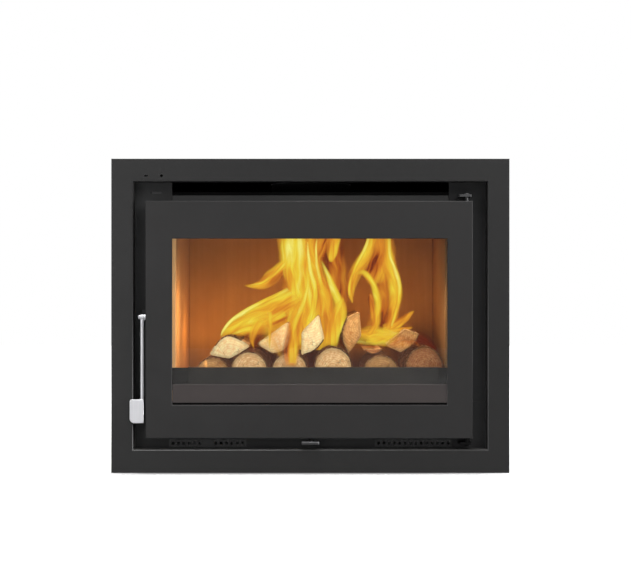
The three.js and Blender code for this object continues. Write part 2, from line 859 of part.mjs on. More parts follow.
function glassRetainer() {
  const outer = [
    -fireOpeningHalf - ropeOuter - retainerLip, fireOpeningHalf + ropeOuter + retainerLip,
    sillTop - ropeOuter - retainerLip, lintelBottom + ropeOuter + retainerLip,
  ];
  const inner = [
    windowLeft - retainerLap, windowRight + retainerLap, windowBottom - retainerLap, windowTop + retainerLap,
  ];
  const [left, right, low, high] = inner;
  const wall = [left - retainerSheet, right + retainerSheet, low - retainerSheet, high + retainerSheet];
  const plate = rectangle(...outer);
  plate.holes.push(rectangle(...inner, new THREE.Path()));
  const collar = rectangle(...wall);
  collar.holes.push(rectangle(...inner, new THREE.Path()));
  return toGeometry(joined(
    upright(plate, retainerBack - retainerSheet, retainerBack),
    upright(collar, glassBack + seatGap, retainerBack - retainerSheet / 2),
  ));
}

function ropeSeal() {
  const ring = roundedRectangle(
    -fireOpeningHalf - ropeOuter, fireOpeningHalf + ropeOuter,
    sillTop - ropeOuter, lintelBottom + ropeOuter, ropeCorner,
  );
  ring.holes.push(roundedRectangle(
    -fireOpeningHalf - ropeMargin, fireOpeningHalf + ropeMargin,
    sillTop - ropeMargin, lintelBottom + ropeMargin, Math.max(ropeCorner - ropeWidth, 1), new THREE.Path(),
  ));
  return upright(ring, ropeFront, frontSetback - seatGap, 4);
}

add('door_frame', doorFrame(), doorSteel);
add('door_glass', doorGlass(), glass);
add('glass_rail', glassRail(), doorSteel);
add('glass_retainer', glassRetainer(), castIron);
add('door_rope_seal', ropeSeal(), rope);

// ---------------------------------------------------------------- door handle and latch

function pivotPin() {
  const shank = rodAlongX(handlePinRadius, handleX - handleRodRadius - seatGap - 1, doorLeft + doorSheet + 2);
  const headInner = handleX - handleRodRadius - seatGap;
  const head = rodAlongX(handlePinHeadRadius, headInner - handlePinHead, headInner);
  const pin = toGeometry(joined(shank, head));
  pin.translate(0, handleSetback, handlePivot);
  return pin;
}

function handleLever() {
  const low = handlePivot - handleLength;
  const rod = rodUp(handleRodRadius, low, handlePivot, 18);
  rod.translate(handleX, handleSetback, 0);
  const eye = rodAlongX(handleEyeRadius, handleX - handleRodRadius, handleX + handleRodRadius);
  eye.translate(0, handleSetback, handlePivot);
  const right = handleX + handleRodRadius;
  const left = right - paddleWidth;
  const high = low + paddleHeight;
  const outline = new THREE.Shape();
  outline.moveTo(right, low);
  outline.lineTo(right, high);
  outline.lineTo(left + paddleCornerTop, high);
  outline.absarc(
    left + paddleCornerTop, high - paddleCornerTop, paddleCornerTop, Math.PI / 2, Math.PI, false,
  );
  outline.lineTo(left, low + paddleCornerBottom);
  outline.absarc(
    left + paddleCornerBottom, low + paddleCornerBottom, paddleCornerBottom, Math.PI, Math.PI * 1.5, false,
  );
  outline.closePath();
  const paddleBack = handleSetback - handleRodRadius;
  const paddle = upright(outline, paddleBack - paddleThickness, paddleBack + 0.4);
  const bore = rodAlongX(
    handlePinRadius + runGap, handleX - handleRodRadius - 1, handleX + handleRodRadius + 1,
  );
  bore.translate(0, handleSetback, handlePivot);
  return toGeometry(joined(rod, eye, paddle).subtract(toSolid(bore)));
}

function latchHook() {
  const front = handleSetback + handleRodRadius + seatGap;
  const back = handleSetback + hookReach;
  const armTop = handlePivot - hookDrop;
  const outline = new THREE.Shape();
  outline.moveTo(front, armTop - hookArm);
  outline.lineTo(back - hookNose, armTop - hookArm);
  outline.lineTo(back, armTop - hookArm / 2);
  outline.lineTo(back, handlePivot + hookRise);
  outline.lineTo(back - hookNose, handlePivot + hookRise);
  outline.lineTo(back - hookNose, armTop);
  outline.lineTo(front, armTop);
  outline.closePath();
  return crosswise(outline, handleX - hookSheet / 2, handleX + hookSheet / 2);
}

function latchKeeper() {
  const low = handlePivot + hookRise + keeperGap;
  const left = handleX - hookSheet / 2;
  return block(left, left + keeperWidth, bracketBack - keeperDepth, bracketBack, low, low + keeperHeight);
}

add('handle_pivot_pin', pivotPin(), bareSteel);
add('handle_lever', handleLever(), satinSteel);
add('latch_hook', latchHook(), bareSteel);
add('latch_keeper', latchKeeper(), blackSteel);

// ---------------------------------------------------------------- firewood

const logSize = 2 * chamberHalf * logRatio;
const logFront = guardFront + guardSheet + logClearance;
const logStart = ({ start }) => logFront + start * chamberDepth;
const logLength = ({ length }) => length * chamberDepth;
const logSkew = ({ skew = 0 }) => skew * logSize;
const point = (x, z) => new THREE.Vector2(x * logSize, z * logSize);

function roundSection({ x, width, height }) {
  const points = [];
  for (let i = 0; i < logSides; i += 1) {
    const turn = (i / logSides) * Math.PI * 2 - Math.PI / 2;
    points.push(point(x + (Math.cos(turn) * width) / 2, ((Math.sin(turn) + 1) * height) / 2));
  }
  return shifted(points, 0, hearthTop + seatGap);
}

// straight split faces, and one side bowed out where the bark is
function splitSection({ x, corners, bark, bulge }) {
  const points = [];
  corners.forEach(([cornerX, cornerZ], i) => {
    const [nextX, nextZ] = corners[(i + 1) % corners.length];
    points.push(point(x + cornerX, cornerZ));
    if (i === bark) {
      const length = Math.hypot(nextX - cornerX, nextZ - cornerZ);
      for (let step = 1; step < barkSteps; step += 1) {
        const along = step / barkSteps;
        const out = bulge * Math.sin(along * Math.PI);
        points.push(point(
          x + cornerX + (nextX - cornerX) * along + ((nextZ - cornerZ) / length) * out,
          cornerZ + (nextZ - cornerZ) * along - ((nextX - cornerX) / length) * out,
        ));
      }
    }
  });
  return points;
}

// heights at which the vertical line through x crosses a closed outline
function crossings(points, x) {
  const heights = [];
  points.forEach((a, i) => {
    const b = points[(i + 1) % points.length];
    if ((a.x <= x && b.x > x) || (b.x <= x && a.x > x)) {
      heights.push(a.y + ((b.y - a.y) * (x - a.x)) / (b.x - a.x));
    }
  });
  return heights;
}

// how far one outline can sink before it meets another one below it
function headroom(upper, lower) {
  let room = Infinity;
  const corners = [...upper, ...lower].flatMap(({ x }) => [x - cornerStep, x + cornerStep]);
  for (const x of corners) {
    const above = crossings(upper, x);
    const below = crossings(lower, x);
    if (above.length && below.length) {
      room = Math.min(room, Math.min(...above) - Math.max(...below));
    }
  }
  return room;
}

function shifted(points, x, z) {
  return points.map((p) => new THREE.Vector2(p.x + x, p.y + z));
}

const skewAt = (log, y) => (logSkew(log) * (y - logStart(log))) / logLength(log);

// lowers a section from the top of the lining until it rests on the logs already there
function layOn(log, section, stack) {
  let drop = Infinity;
  for (const part of [0, 0.25, 0.5, 0.75, 1]) {
    const y = logStart(log) + logLength(log) * part;
    const here = shifted(section, skewAt(log, y), liningTop);
    for (const other of stack) {
      drop = Math.min(drop, headroom(here, shifted(other.section, skewAt(other.log, y), 0)));
    }
  }
  return shifted(section, 0, liningTop - drop + seatGap);
}

function logBody(log, section) {
  const length = logLength(log);
  const geometry = upright(new THREE.Shape(section), 0, length, 1);
  const shear = new THREE.Matrix4().set(1, logSkew(log) / length, 0, 0, 0, 1, 0, 0, 0, 0, 1, 0, 0, 0, 0, 1);
  geometry.applyMatrix4(shear);
  geometry.translate(0, logStart(log), 0);
  return geometry;
}

const stack = roundLogs.map((log) => ({ log, section: roundSection(log) }));
for (const log of splitLogs) {
  stack.push({ log, section: layOn(log, splitSection(log), stack) });
}
stack.forEach(({ log, section }, i) => {
  const name = i < roundLogs.length ? `log_round_${i + 1}` : `log_split_${i + 1 - roundLogs.length}`;
  add(name, logBody(log, section), wood);
});

// ---------------------------------------------------------------- place in the row's frame

// origin under the middle of the whole object, on the hearth
insert.position.y = -(frontMost + spigotEnd) / 2;

export default insert;
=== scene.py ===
import json
import math

import bmesh
import bpy
from mathutils import Matrix, Vector, noise


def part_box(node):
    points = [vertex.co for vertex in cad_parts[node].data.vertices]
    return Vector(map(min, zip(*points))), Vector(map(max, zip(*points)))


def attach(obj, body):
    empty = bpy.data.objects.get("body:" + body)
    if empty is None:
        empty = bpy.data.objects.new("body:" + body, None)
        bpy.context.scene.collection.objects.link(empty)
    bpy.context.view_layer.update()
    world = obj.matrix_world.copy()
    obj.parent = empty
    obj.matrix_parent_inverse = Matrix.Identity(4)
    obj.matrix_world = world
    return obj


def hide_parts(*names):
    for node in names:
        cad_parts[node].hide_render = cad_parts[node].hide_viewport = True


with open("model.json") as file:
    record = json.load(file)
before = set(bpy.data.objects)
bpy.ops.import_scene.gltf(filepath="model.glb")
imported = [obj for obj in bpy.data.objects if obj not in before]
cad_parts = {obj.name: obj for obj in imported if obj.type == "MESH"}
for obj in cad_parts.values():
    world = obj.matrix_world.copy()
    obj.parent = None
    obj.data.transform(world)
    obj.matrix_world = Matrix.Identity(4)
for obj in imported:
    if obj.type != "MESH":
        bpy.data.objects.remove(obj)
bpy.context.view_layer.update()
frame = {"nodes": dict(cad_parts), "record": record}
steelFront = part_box("surround_frame")[0].y      # front face of the surround
mm = 0.001
up, back, right = Vector((0, 0, 1)), Vector((0, 1, 0)), Vector((1, 0, 0))

# the photo is straight on, and its pixels are turned into metres from this view
view = {
    "x": 0.009, "z": 0.3222, "distance": 2.6, "farEnd": 50,
    "metresPerPixel": 0.0017575, "middle": (315.5, 291.5), "lens": 84.4, "sensor": 36.0,
}


def fromPhoto(column, row, y):
    spread = view["metresPerPixel"] * (view["distance"] + y - steelFront) / view["distance"]
    across, down = column - view["middle"][0], row - view["middle"][1]
    return Vector((view["x"] + across * spread, y, view["z"] - down * spread))


def setUpCamera():
    camera = bpy.data.objects.new("camera", bpy.data.cameras.new("camera"))
    bpy.context.scene.collection.objects.link(camera)
    camera.location = (view["x"], steelFront - view["distance"], view["z"])
    camera.rotation_euler = (math.radians(90), 0, 0)
    camera.data.lens = view["lens"]
    camera.data.sensor_width = view["sensor"]
    camera.data.sensor_fit = "HORIZONTAL"
    camera.data.clip_end = view["farEnd"]
    bpy.context.scene.camera = camera


# small helpers for node trees
def plug(value, socket):
    # another node's output is linked, and a number, place or colour is set
    if isinstance(value, bpy.types.NodeSocket):
        socket.id_data.links.new(value, socket)
    elif socket.type == "RGBA":
        socket.default_value = (*value, 1)
    else:
        socket.default_value = value


def add(tree, kind, settings=None, **inputs):
    made = tree.nodes.new("ShaderNode" + kind)
    for key, value in (settings or {}).items():
        setattr(made, key, value)
    for key, value in inputs.items():
        plug(value, made.inputs[key])
    return made


def maths(tree, operation, *values, kind="Math", **settings):
    made = add(tree, kind, {"operation": operation, **settings})
    for value, socket in zip(values, made.inputs):
        plug(value, socket)
    return made.outputs["Value"]


def rangeOf(source, low, high, fromLow=0.0, fromHigh=1.0):
    # from low to high while the source goes from fromLow to fromHigh
    spread = add(source.id_data, "MapRange", Value=source)
    for name, value in (("From Min", fromLow), ("From Max", fromHigh), ("To Min", low), ("To Max", high)):
        plug(value, spread.inputs[name])
    return spread.outputs["Result"]


def mixOf(mask, low, high):
    # the low colour where the mask is 0, the high one where it is 1
    mixed = add(mask.id_data, "Mix", {"data_type": "RGBA"})
    for slot, value in ((0, mask), (6, low), (7, high)):
        plug(value, mixed.inputs[slot])
    return mixed.outputs[2]


def objectPlace(tree):
    return add(tree, "TexCoord").outputs["Object"]


def texture(tree, kind, settings=None, uv=False, stretch=None, shift=(0, 0, 0), **inputs):
    # laid out on the piece's own places or on its UV map, stretched where that is asked
    place = add(tree, "UVMap").outputs["UV"] if uv else objectPlace(tree)
    if stretch:
        place = add(tree, "Mapping", Vector=place, Location=shift, Scale=stretch).outputs["Vector"]
    return add(tree, kind, settings, Vector=place, **inputs)


def newMaterial(name, colour, roughness, metallic=0.0, gloss=0.5):
    material = bpy.data.materials.new(name)
    material.use_nodes = True
    shader = material.node_tree.nodes["Principled BSDF"]
    for socket, value in (("Base Color", colour), ("Roughness", roughness), ("Metallic", metallic),
                          ("Specular IOR Level", gloss)):
        plug(value, shader.inputs[socket])
    return material, material.node_tree, shader


def bumpFrom(height, shader, strength, distance):
    bump = add(height.id_data, "Bump", Height=height, Strength=strength, Distance=distance)
    plug(bump.outputs["Normal"], shader.inputs["Normal"])


def glowFrom(colour, shader, strength=1.0):
    plug(colour, shader.inputs["Emission Color"])
    plug(strength, shader.inputs["Emission Strength"])


# room, lamps and floor
studio = {
    "roomLight": 0.42, "mirroredRoom": 0.16, "transparentBounces": 32,
    "lamps": {
        "keyLamp": {"place": (1.5, -2.6, 2.3), "aim": (0, -0.2, 0.3), "size": (1.6, 1.2), "power": 46},
        "topLamp": {"place": (-0.2, -0.7, 2.6), "aim": (0, -0.35, 0), "size": (2.2, 1.0), "power": 62},
        "sideLamp": {"place": (2.3, -0.5, 0.55), "aim": (0, -0.22, 0.3), "size": (0.5, 1.2), "power": 60},
        "cardLamp": {"place": (-1.15, -2.3, 0.5), "aim": (-0.3, -0.2, 0.2), "size": (0.8, 1.7), "power": 10},
    },
}
# warm lamps inside the fire chamber, which light it but aren't seen themselves
chamberLamps = {
    "plumeLamp": {"place": (-0.03, -0.01, 0.26), "radius": 0.04, "power": 0.24, "colour": (1, 0.56, 0.18)},
    "rightFlameLamp": {"place": (0.13, -0.02, 0.26), "radius": 0.035, "power": 0.2,
                       "colour": (1, 0.56, 0.18)},
    "leftWallLamp": {"place": (-0.19, 0.005, 0.245), "radius": 0.03, "power": 0.21,
                     "colour": (1, 0.55, 0.16)},
    "embersLamp": {"place": (0.04, -0.1, 0.215), "radius": 0.01, "power": 0.02, "colour": (1, 0.3, 0.06)},
    "frontLamp": {"place": (0, -0.204, 0.36), "aim": (0, -0.15, 0.2), "size": (0.44, 0.03), "power": 0.5,
                  "colour": (1, 0.74, 0.44), "spread": 100},
    "sideWallLamp": {"place": (-0.19, -0.135, 0.245), "aim": (-0.3, -0.13, 0.235), "size": (0.05, 0.18),
                     "power": 0.125, "colour": (1, 0.66, 0.33)},
}


def putLamp(name, place, power, aim=None, size=None, radius=None, colour=(1, 1, 1), spread=180):
    # a panel with a size and an aim, or a round lamp with a radius
    lamp = bpy.data.objects.new(name, bpy.data.lights.new(name, "AREA" if size else "POINT"))
    bpy.context.scene.collection.objects.link(lamp)
    lamp.location = place
    lamp.data.energy = power
    lamp.data.color = colour
    if size:
        lamp.data.shape = "RECTANGLE"
        lamp.data.size, lamp.data.size_y = size
        lamp.data.spread = math.radians(spread)
        lamp.rotation_euler = (Vector(aim) - Vector(place)).to_track_quat("-Z", "Y").to_euler()
    else:
        lamp.data.shadow_soft_size = radius
    return lamp


def lightRoom():
    # an even light that is dimmer where the object mirrors it, and white behind the object
    scene = bpy.context.scene
    scene.view_settings.view_transform = "Standard"
    scene.cycles.transparent_max_bounces = studio["transparentBounces"]
    scene.world = bpy.data.worlds.new("studio")
    scene.world.use_nodes = True
    tree = scene.world.node_tree
    seen = add(tree, "LightPath")
    room = rangeOf(seen.outputs["Is Glossy Ray"], studio["roomLight"], studio["mirroredRoom"])
    backdrop = tree.nodes["Background"]
    plug((1, 1, 1), backdrop.inputs["Color"])
    plug(rangeOf(seen.outputs["Is Camera Ray"], room, 1.0), backdrop.inputs["Strength"])


def setUpLight():
    lightRoom()
    for name, settings in studio["lamps"].items():
        putLamp(name, **settings)
    for name, settings in chamberLamps.items():
        lamp = putLamp(name, **settings)
        lamp.visible_camera = False
        lamp.visible_glossy = False
        lamp.visible_transmission = False


floorLook = {"half": 6, "colour": (0.86, 0.86, 0.86), "roughness": 0.9,
             "glow": (0.42, 1.0), "reach": (0.45, 1.5)}


def layFloor():
    # it turns into the white behind the object with the distance
    bm = bmesh.new()
    bmesh.ops.create_grid(bm, x_segments=1, y_segments=1, size=floorLook["half"])
    mesh = bpy.data.meshes.new("floor")
    bm.to_mesh(mesh)
    bm.free()
    floor = bpy.data.objects.new("floor", mesh)
    bpy.context.scene.collection.objects.link(floor)
    material, tree, shader = newMaterial("paleFloor", floorLook["colour"], floorLook["roughness"], gloss=0.0)
    away = maths(tree, "LENGTH", objectPlace(tree), kind="VectorMath")
    paler = rangeOf(away, *floorLook["glow"], *floorLook["reach"])
    seen = add(tree, "LightPath").outputs["Is Camera Ray"]
    glowFrom(maths(tree, "MULTIPLY", paler, seen), shader)
    mesh.materials.append(material)
    floor.visible_glossy = False


setUpCamera()
setUpLight()
layFloor()
print("studio ready")


# effects that several materials share
def newGroup(name, inputs, outputs):
    group = bpy.data.node_groups.new(name, "ShaderNodeTree")
    for way, names in (("INPUT", inputs), ("OUTPUT", outputs)):
        for socket in names:
            group.interface.new_socket(name=socket, in_out=way, socket_type="NodeSocketFloat")
    return group, group.nodes.new("NodeGroupInput").outputs, group.nodes.new("NodeGroupOutput").inputs


def useGroup(tree, group, **inputs):
    return add(tree, "Group", {"node_tree": group}, **inputs).outputs


def makeGrainGroup():
    # fine grain for bumps, and slow blotches for colour and gloss
    group, start, end = newGroup("surfaceGrain", ("Grain", "Blotch"), ("Height", "Blotch"))
    fine = texture(group, "TexNoise", Scale=start["Grain"], Detail=3.0, Roughness=0.6)
    slow = texture(group, "TexNoise", Scale=start["Blotch"], Detail=4.0, Roughness=0.62)
    plug(fine.outputs["Fac"], end["Height"])
    plug(rangeOf(slow.outputs["Fac"], 0.0, 1.0, 0.3, 0.7), end["Blotch"])
    return group


def makeEdgeGroup():
    # where an edge is rubbed: the rounded normal leaves the true one
    group, start, end = newGroup("edgeWear", ("Radius", "Gain"), ("Mask",))
    rounded = add(group, "Bevel", {"samples": 4}, Radius=start["Radius"]).outputs["Normal"]
    surface = add(group, "NewGeometry").outputs["Normal"]
    away = maths(group, "SUBTRACT", 1.0, maths(group, "DOT_PRODUCT", rounded, surface, kind="VectorMath"))
    broken = texture(group, "TexNoise", Scale=140.0, Detail=4.0)
    rubbed = maths(group, "MULTIPLY", away, broken.outputs["Fac"])
    plug(maths(group, "MULTIPLY", rubbed, start["Gain"], use_clamp=True), end["Mask"])
    return group


def makeDustGroup():
    # pale dust on what faces up
    group, start, end = newGroup("settledDust", ("Amount",), ("Mask",))
    facing = add(group, "SeparateXYZ", Vector=add(group, "NewGeometry").outputs["Normal"])
    patchy = texture(group, "TexNoise", Scale=22.0, Detail=6.0, Roughness=0.7)
    lying = maths(group, "MULTIPLY", rangeOf(facing.outputs["Z"], 0.0, 1.0, 0.5, 1.0), patchy.outputs["Fac"])
    plug(maths(group, "MULTIPLY", lying, start["Amount"], use_clamp=True), end["Mask"])
    return group


grainGroup = makeGrainGroup()
edgeGroup = makeEdgeGroup()
dustGroup = makeDustGroup()


def rubbedEdges(colour, worn, radius, wear):
    edges = useGroup(colour.id_data, edgeGroup, Radius=radius, Gain=wear)
    return mixOf(edges["Mask"], colour, worn)


def dusted(colour, amount, dust=(0.3, 0.29, 0.28)):
    return mixOf(useGroup(colour.id_data, dustGroup, Amount=amount)["Mask"], colour, dust)


def toned(colour, *factors):
    # darker or lighter: one factor for all three channels, or one for each
    return tuple(c * f for c, f in zip(colour, factors * 3))


# materials
paintLook = {"edgeRadius": 1.5 * mm, "glossSwing": 0.06, "grainDepth": 0.4 * mm}


def metalFinish(name, dark, light, worn, roughness, metallic=0.0, grain=900.0, blotch=9.0,
                bump=0.15, wear=2.0, dust=0.3, gloss=0.5):
    # painted or plain metal: blotchy colour, grain, rubbed edges, a little dust
    material, tree, shader = newMaterial(name, light, roughness, metallic, gloss)
    surface = useGroup(tree, grainGroup, Grain=grain, Blotch=blotch)
    rubbed = rubbedEdges(mixOf(surface["Blotch"], dark, light), worn, paintLook["edgeRadius"], wear)
    plug(dusted(rubbed, dust), shader.inputs["Base Color"])
    swing = paintLook["glossSwing"]
    plug(rangeOf(surface["Blotch"], roughness + swing, roughness - swing), shader.inputs["Roughness"])
    bumpFrom(surface["Height"], shader, bump, paintLook["grainDepth"])
    return material


brushing = {"along": 18.0, "across": 900.0, "rubbed": (0.95, 0.95, 0.96), "edgeRadius": 0.6 * mm,
            "wear": 2.0, "glossier": 0.05, "duller": 0.08, "bump": 0.12, "depth": 0.2 * mm}


def brushedMetal(name, dark, light, roughness, axis="Z", metallic=1.0):
    # satin steel with a fine brushing along one axis
    material, tree, shader = newMaterial(name, light, roughness, metallic)
    stretch = [brushing["along"] if way == axis else brushing["across"] for way in "XYZ"]
    lines = texture(tree, "TexNoise", stretch=stretch, Scale=1.0, Detail=2.0).outputs["Fac"]
    smudge = useGroup(tree, grainGroup, Grain=200.0, Blotch=40.0)["Blotch"]
    brushed = mixOf(lines, dark, light)
    rubbed = rubbedEdges(brushed, brushing["rubbed"], brushing["edgeRadius"], brushing["wear"])
    plug(rubbed, shader.inputs["Base Color"])
    smudged = rangeOf(smudge, roughness - brushing["glossier"], roughness + brushing["duller"])
    plug(smudged, shader.inputs["Roughness"])
    bumpFrom(lines, shader, brushing["bump"], brushing["depth"])
    return material


zincLook = {"spangles": 70.0, "flakeDark": (0.33, 0.34, 0.355), "flakeLight": (0.44, 0.45, 0.46),
            "aged": (0.38, 0.38, 0.38), "worn": (0.72, 0.72, 0.73), "edgeRadius": 1 * mm, "wear": 2.0,
            "dust": (0.42, 0.4, 0.37), "dusty": 0.7, "roughness": (0.54, 0.68)}


def zincSheet(name):
    # galvanised sheet: pale spangles, soft roll marks
    material, tree, shader = newMaterial(name, (0.5, 0.51, 0.52), 0.6, 0.45)
    spangle = texture(tree, "TexVoronoi", Scale=zincLook["spangles"], Randomness=1.0)
    tint = add(tree, "SeparateColor", Color=spangle.outputs["Color"]).outputs
    surface = useGroup(tree, grainGroup, Grain=350.0, Blotch=6.0)
    flake = mixOf(tint["Red"], zincLook["flakeDark"], zincLook["flakeLight"])
    aged = mixOf(surface["Blotch"], flake, zincLook["aged"])
    rubbed = rubbedEdges(aged, zincLook["worn"], zincLook["edgeRadius"], zincLook["wear"])
    plug(dusted(rubbed, zincLook["dusty"], zincLook["dust"]), shader.inputs["Base Color"])
    plug(rangeOf(tint["Green"], *zincLook["roughness"]), shader.inputs["Roughness"])
    bumpFrom(surface["Height"], shader, 0.08, 0.3 * mm)
    return material


lining = {"streaks": (120.0, 120.0, 5.0), "flecks": 520.0, "soot": (0.035, 0.02, 0.012), "sootRise": 0.09,
          # the tone and reach of the painted shade at the top of the board
          "smoke": (0.12, 0.045, 0.012), "smokeDrop": 0.12,
          # an emission that stands in for the fire's light on the board: painted light
          "glow": (0.3, 0.18, 0.08), "glowFrom": 2 * mm, "glowTo": 18 * mm}


def liningBoard(name, dark, light, farPaintedLight=0.0, sooty=0.85, paintedTopShade=0.0):
    # pressed vermiculite: warm board, mica flecks, faint upright streaks, soot low down, painted shade high
    # up
    material, tree, shader = newMaterial(name, light, 0.95, gloss=0.15)
    surface = useGroup(tree, grainGroup, Grain=420.0, Blotch=7.0)
    streaks = texture(tree, "TexNoise", stretch=lining["streaks"], Scale=1.0, Detail=3.0).outputs["Fac"]
    flecks = texture(tree, "TexVoronoi", Scale=lining["flecks"]).outputs["Distance"]
    place = add(tree, "SeparateXYZ", Vector=objectPlace(tree)).outputs
    base = mixOf(surface["Blotch"], dark, light)
    streaked = mixOf(rangeOf(streaks, 0.0, 0.3, 0.35, 0.75), base, toned(dark, 0.72))
    flecked = mixOf(rangeOf(flecks, 0.35, 0.0, 0.0, 0.28), streaked, toned(light, 1.25))
    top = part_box("lining_back")[1].z
    # painted shade: the board darkens and browns towards its top, where the fire's light falls off
    topShadeMask = rangeOf(place["Z"], 0.0, paintedTopShade, top - lining["smokeDrop"], top)
    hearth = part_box("hearth_brick")[1].z
    soot = rangeOf(place["Z"], sooty, 0.0, hearth, hearth + lining["sootRise"])
    sooted = maths(tree, "MULTIPLY", soot, surface["Blotch"])
    plug(mixOf(sooted, mixOf(topShadeMask, flecked, lining["smoke"]), lining["soot"]), shader.inputs["Base Color"])
    if farPaintedLight:
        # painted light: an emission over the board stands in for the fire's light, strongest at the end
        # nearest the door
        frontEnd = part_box("lining_left")[0].y
        nearDoor = rangeOf(place["Y"], 1.0, 0.0, frontEnd + lining["glowFrom"], frontEnd + lining["glowTo"])
        glowFrom(mixOf(nearDoor, toned(lining["glow"], farPaintedLight), lining["glow"]), shader)
    bumpFrom(surface["Height"], shader, 0.45, 0.8 * mm)
    return material


def ceramicGlass(name):
    material, tree, shader = newMaterial(name, (1, 0.99, 0.97), 0.0)
    plug(1.0, shader.inputs["Transmission Weight"])
    plug(1.45, shader.inputs["IOR"])
    surface = useGroup(tree, grainGroup, Grain=60.0, Blotch=14.0)
    plug(rangeOf(surface["Blotch"], 0.0, 0.012), shader.inputs["Roughness"])
    return material


def ropeKnit(name):
    # knitted glass-fibre rope: the knit follows the rope's own length
    material, tree, shader = newMaterial(name, (0.05, 0.045, 0.04), 0.95)
    knit = texture(tree, "TexWave", {"bands_direction": "DIAGONAL"}, uv=True,
                   Scale=260.0, Distortion=0.6, Detail=1.0).outputs["Fac"]
    plug(mixOf(knit, (0.02, 0.018, 0.016), (0.11, 0.1, 0.09)), shader.inputs["Base Color"])
    plug(0.3, shader.inputs["Sheen Weight"])
    bumpFrom(knit, shader, 0.6, 0.8 * mm)
    return material


endGrain = {"rings": 1550.0, "bend": 5.0, "ringed": 0.55, "stain": 0.9, "stainTone": (1, 0.78, 0.62),
            "checks": 2.6, "checkDepth": -2.0, "checkFrom": 4 * mm, "checkTo": 12 * mm}


def cutWood(name, pale, dark):
    # end grain: rings round the pith, stains and checks; the UV map is metres from the pith
    material, tree, shader = newMaterial(name, pale, 0.85, gloss=0.2)
    fromPith = add(tree, "UVMap").outputs["UV"]
    radius = maths(tree, "LENGTH", fromPith, kind="VectorMath")
    wobble = texture(tree, "TexNoise", uv=True, Scale=38.0, Detail=3.0).outputs["Fac"]
    bend = rangeOf(wobble, -endGrain["bend"], endGrain["bend"], 0.2, 0.8)
    rings = maths(tree, "SINE", maths(tree, "MULTIPLY_ADD", radius, endGrain["rings"], bend))
    ringed = mixOf(rangeOf(rings, 0.0, endGrain["ringed"]), pale, dark)
    surface = useGroup(tree, grainGroup, Grain=700.0, Blotch=170.0)
    stain = rangeOf(surface["Blotch"], 0.0, endGrain["stain"])
    stained = mixOf(stain, ringed, toned(dark, *endGrain["stainTone"]))
    rim = add(tree, "Attribute", {"attribute_name": "rim"}).outputs["Fac"]
    darkRim = mixOf(rangeOf(rim, 0.0, 0.6, 0.72, 1.0), stained, toned(dark, 0.5))
    # checks run out from the pith
    place = add(tree, "SeparateXYZ", Vector=fromPith).outputs
    angle = maths(tree, "ARCTAN2", place["Y"], place["X"])
    spokes = maths(tree, "SINE", maths(tree, "MULTIPLY_ADD", angle, endGrain["checks"], bend))
    check = rangeOf(spokes, 0.0, 0.55, 0.985, 1.0)
    far = rangeOf(radius, 0.0, 1.0, endGrain["checkFrom"], endGrain["checkTo"])
    checked = maths(tree, "MULTIPLY", check, far)
    plug(mixOf(checked, darkRim, toned(dark, 0.4)), shader.inputs["Base Color"])
    height = maths(tree, "MULTIPLY_ADD", checked, endGrain["checkDepth"], surface["Height"])
    bumpFrom(height, shader, 0.5, 1.2 * mm)
    return material


def splitWood(name, pale, dark):
    # the riven sides: long fibres along the log
    material, tree, shader = newMaterial(name, pale, 0.8)
    fibres = texture(tree, "TexNoise", stretch=(260.0, 14.0, 260.0),
                     Scale=1.0, Detail=5.0, Roughness=0.6).outputs["Fac"]
    plug(mixOf(rangeOf(fibres, 0.0, 1.0, 0.3, 0.7), dark, pale), shader.inputs["Base Color"])
    bumpFrom(fibres, shader, 0.6, 1.5 * mm)
    return material


bark = {"plates": 110.0, "stretch": (1.0, 0.28, 1.0), "crack": (0.03, 0.018, 0.011),
        "dark": (0.09, 0.052, 0.028), "light": (0.25, 0.145, 0.078),
        "dimEmberAndPaintedLight": (0.01, 0.005, 0.0025), "brightEmberAndPaintedLight": (0.1, 0.03, 0.008)}


def barkSkin(name):
    # cracked plates with an emission all over, stronger in patches: partly the glow of charring bark, partly
    # painted light on bark the lamps don't reach
    material, tree, shader = newMaterial(name, (0.1, 0.07, 0.05), 0.95, gloss=0.1)
    plates = texture(tree, "TexVoronoi", {"feature": "DISTANCE_TO_EDGE"}, stretch=bark["stretch"],
                     Scale=bark["plates"]).outputs["Distance"]
    patches = useGroup(tree, grainGroup, Grain=500.0, Blotch=30.0)["Blotch"]
    cracked = rangeOf(plates, 0.0, 1.0, 0.0, 0.18)
    tone = mixOf(patches, bark["dark"], bark["light"])
    plug(mixOf(cracked, bark["crack"], tone), shader.inputs["Base Color"])
    # ember glow and painted light together
    glowFrom(mixOf(patches, bark["dimEmberAndPaintedLight"], bark["brightEmberAndPaintedLight"]), shader)
    bumpFrom(cracked, shader, 0.8, 2 * mm)
    return material


def coals(name):
    # grey ash with glowing cracks
    material, tree, shader = newMaterial(name, (0.03, 0.025, 0.022), 0.95)
    lumps = texture(tree, "TexVoronoi", {"feature": "DISTANCE_TO_EDGE"}, Scale=75.0).outputs["Distance"]
    patches = useGroup(tree, grainGroup, Grain=300.0, Blotch=18.0)["Blotch"]
    alight = maths(tree, "MULTIPLY", rangeOf(lumps, 1.0, 0.0, 0.0, 0.09), patches)
    glowFrom(mixOf(alight, (0, 0, 0), (1, 0.17, 0.015)), shader, 1.4)
    plug(mixOf(patches, (0.02, 0.018, 0.017), (0.16, 0.15, 0.14)), shader.inputs["Base Color"])
    bumpFrom(lumps, shader, 0.8, 4 * mm)
    return material


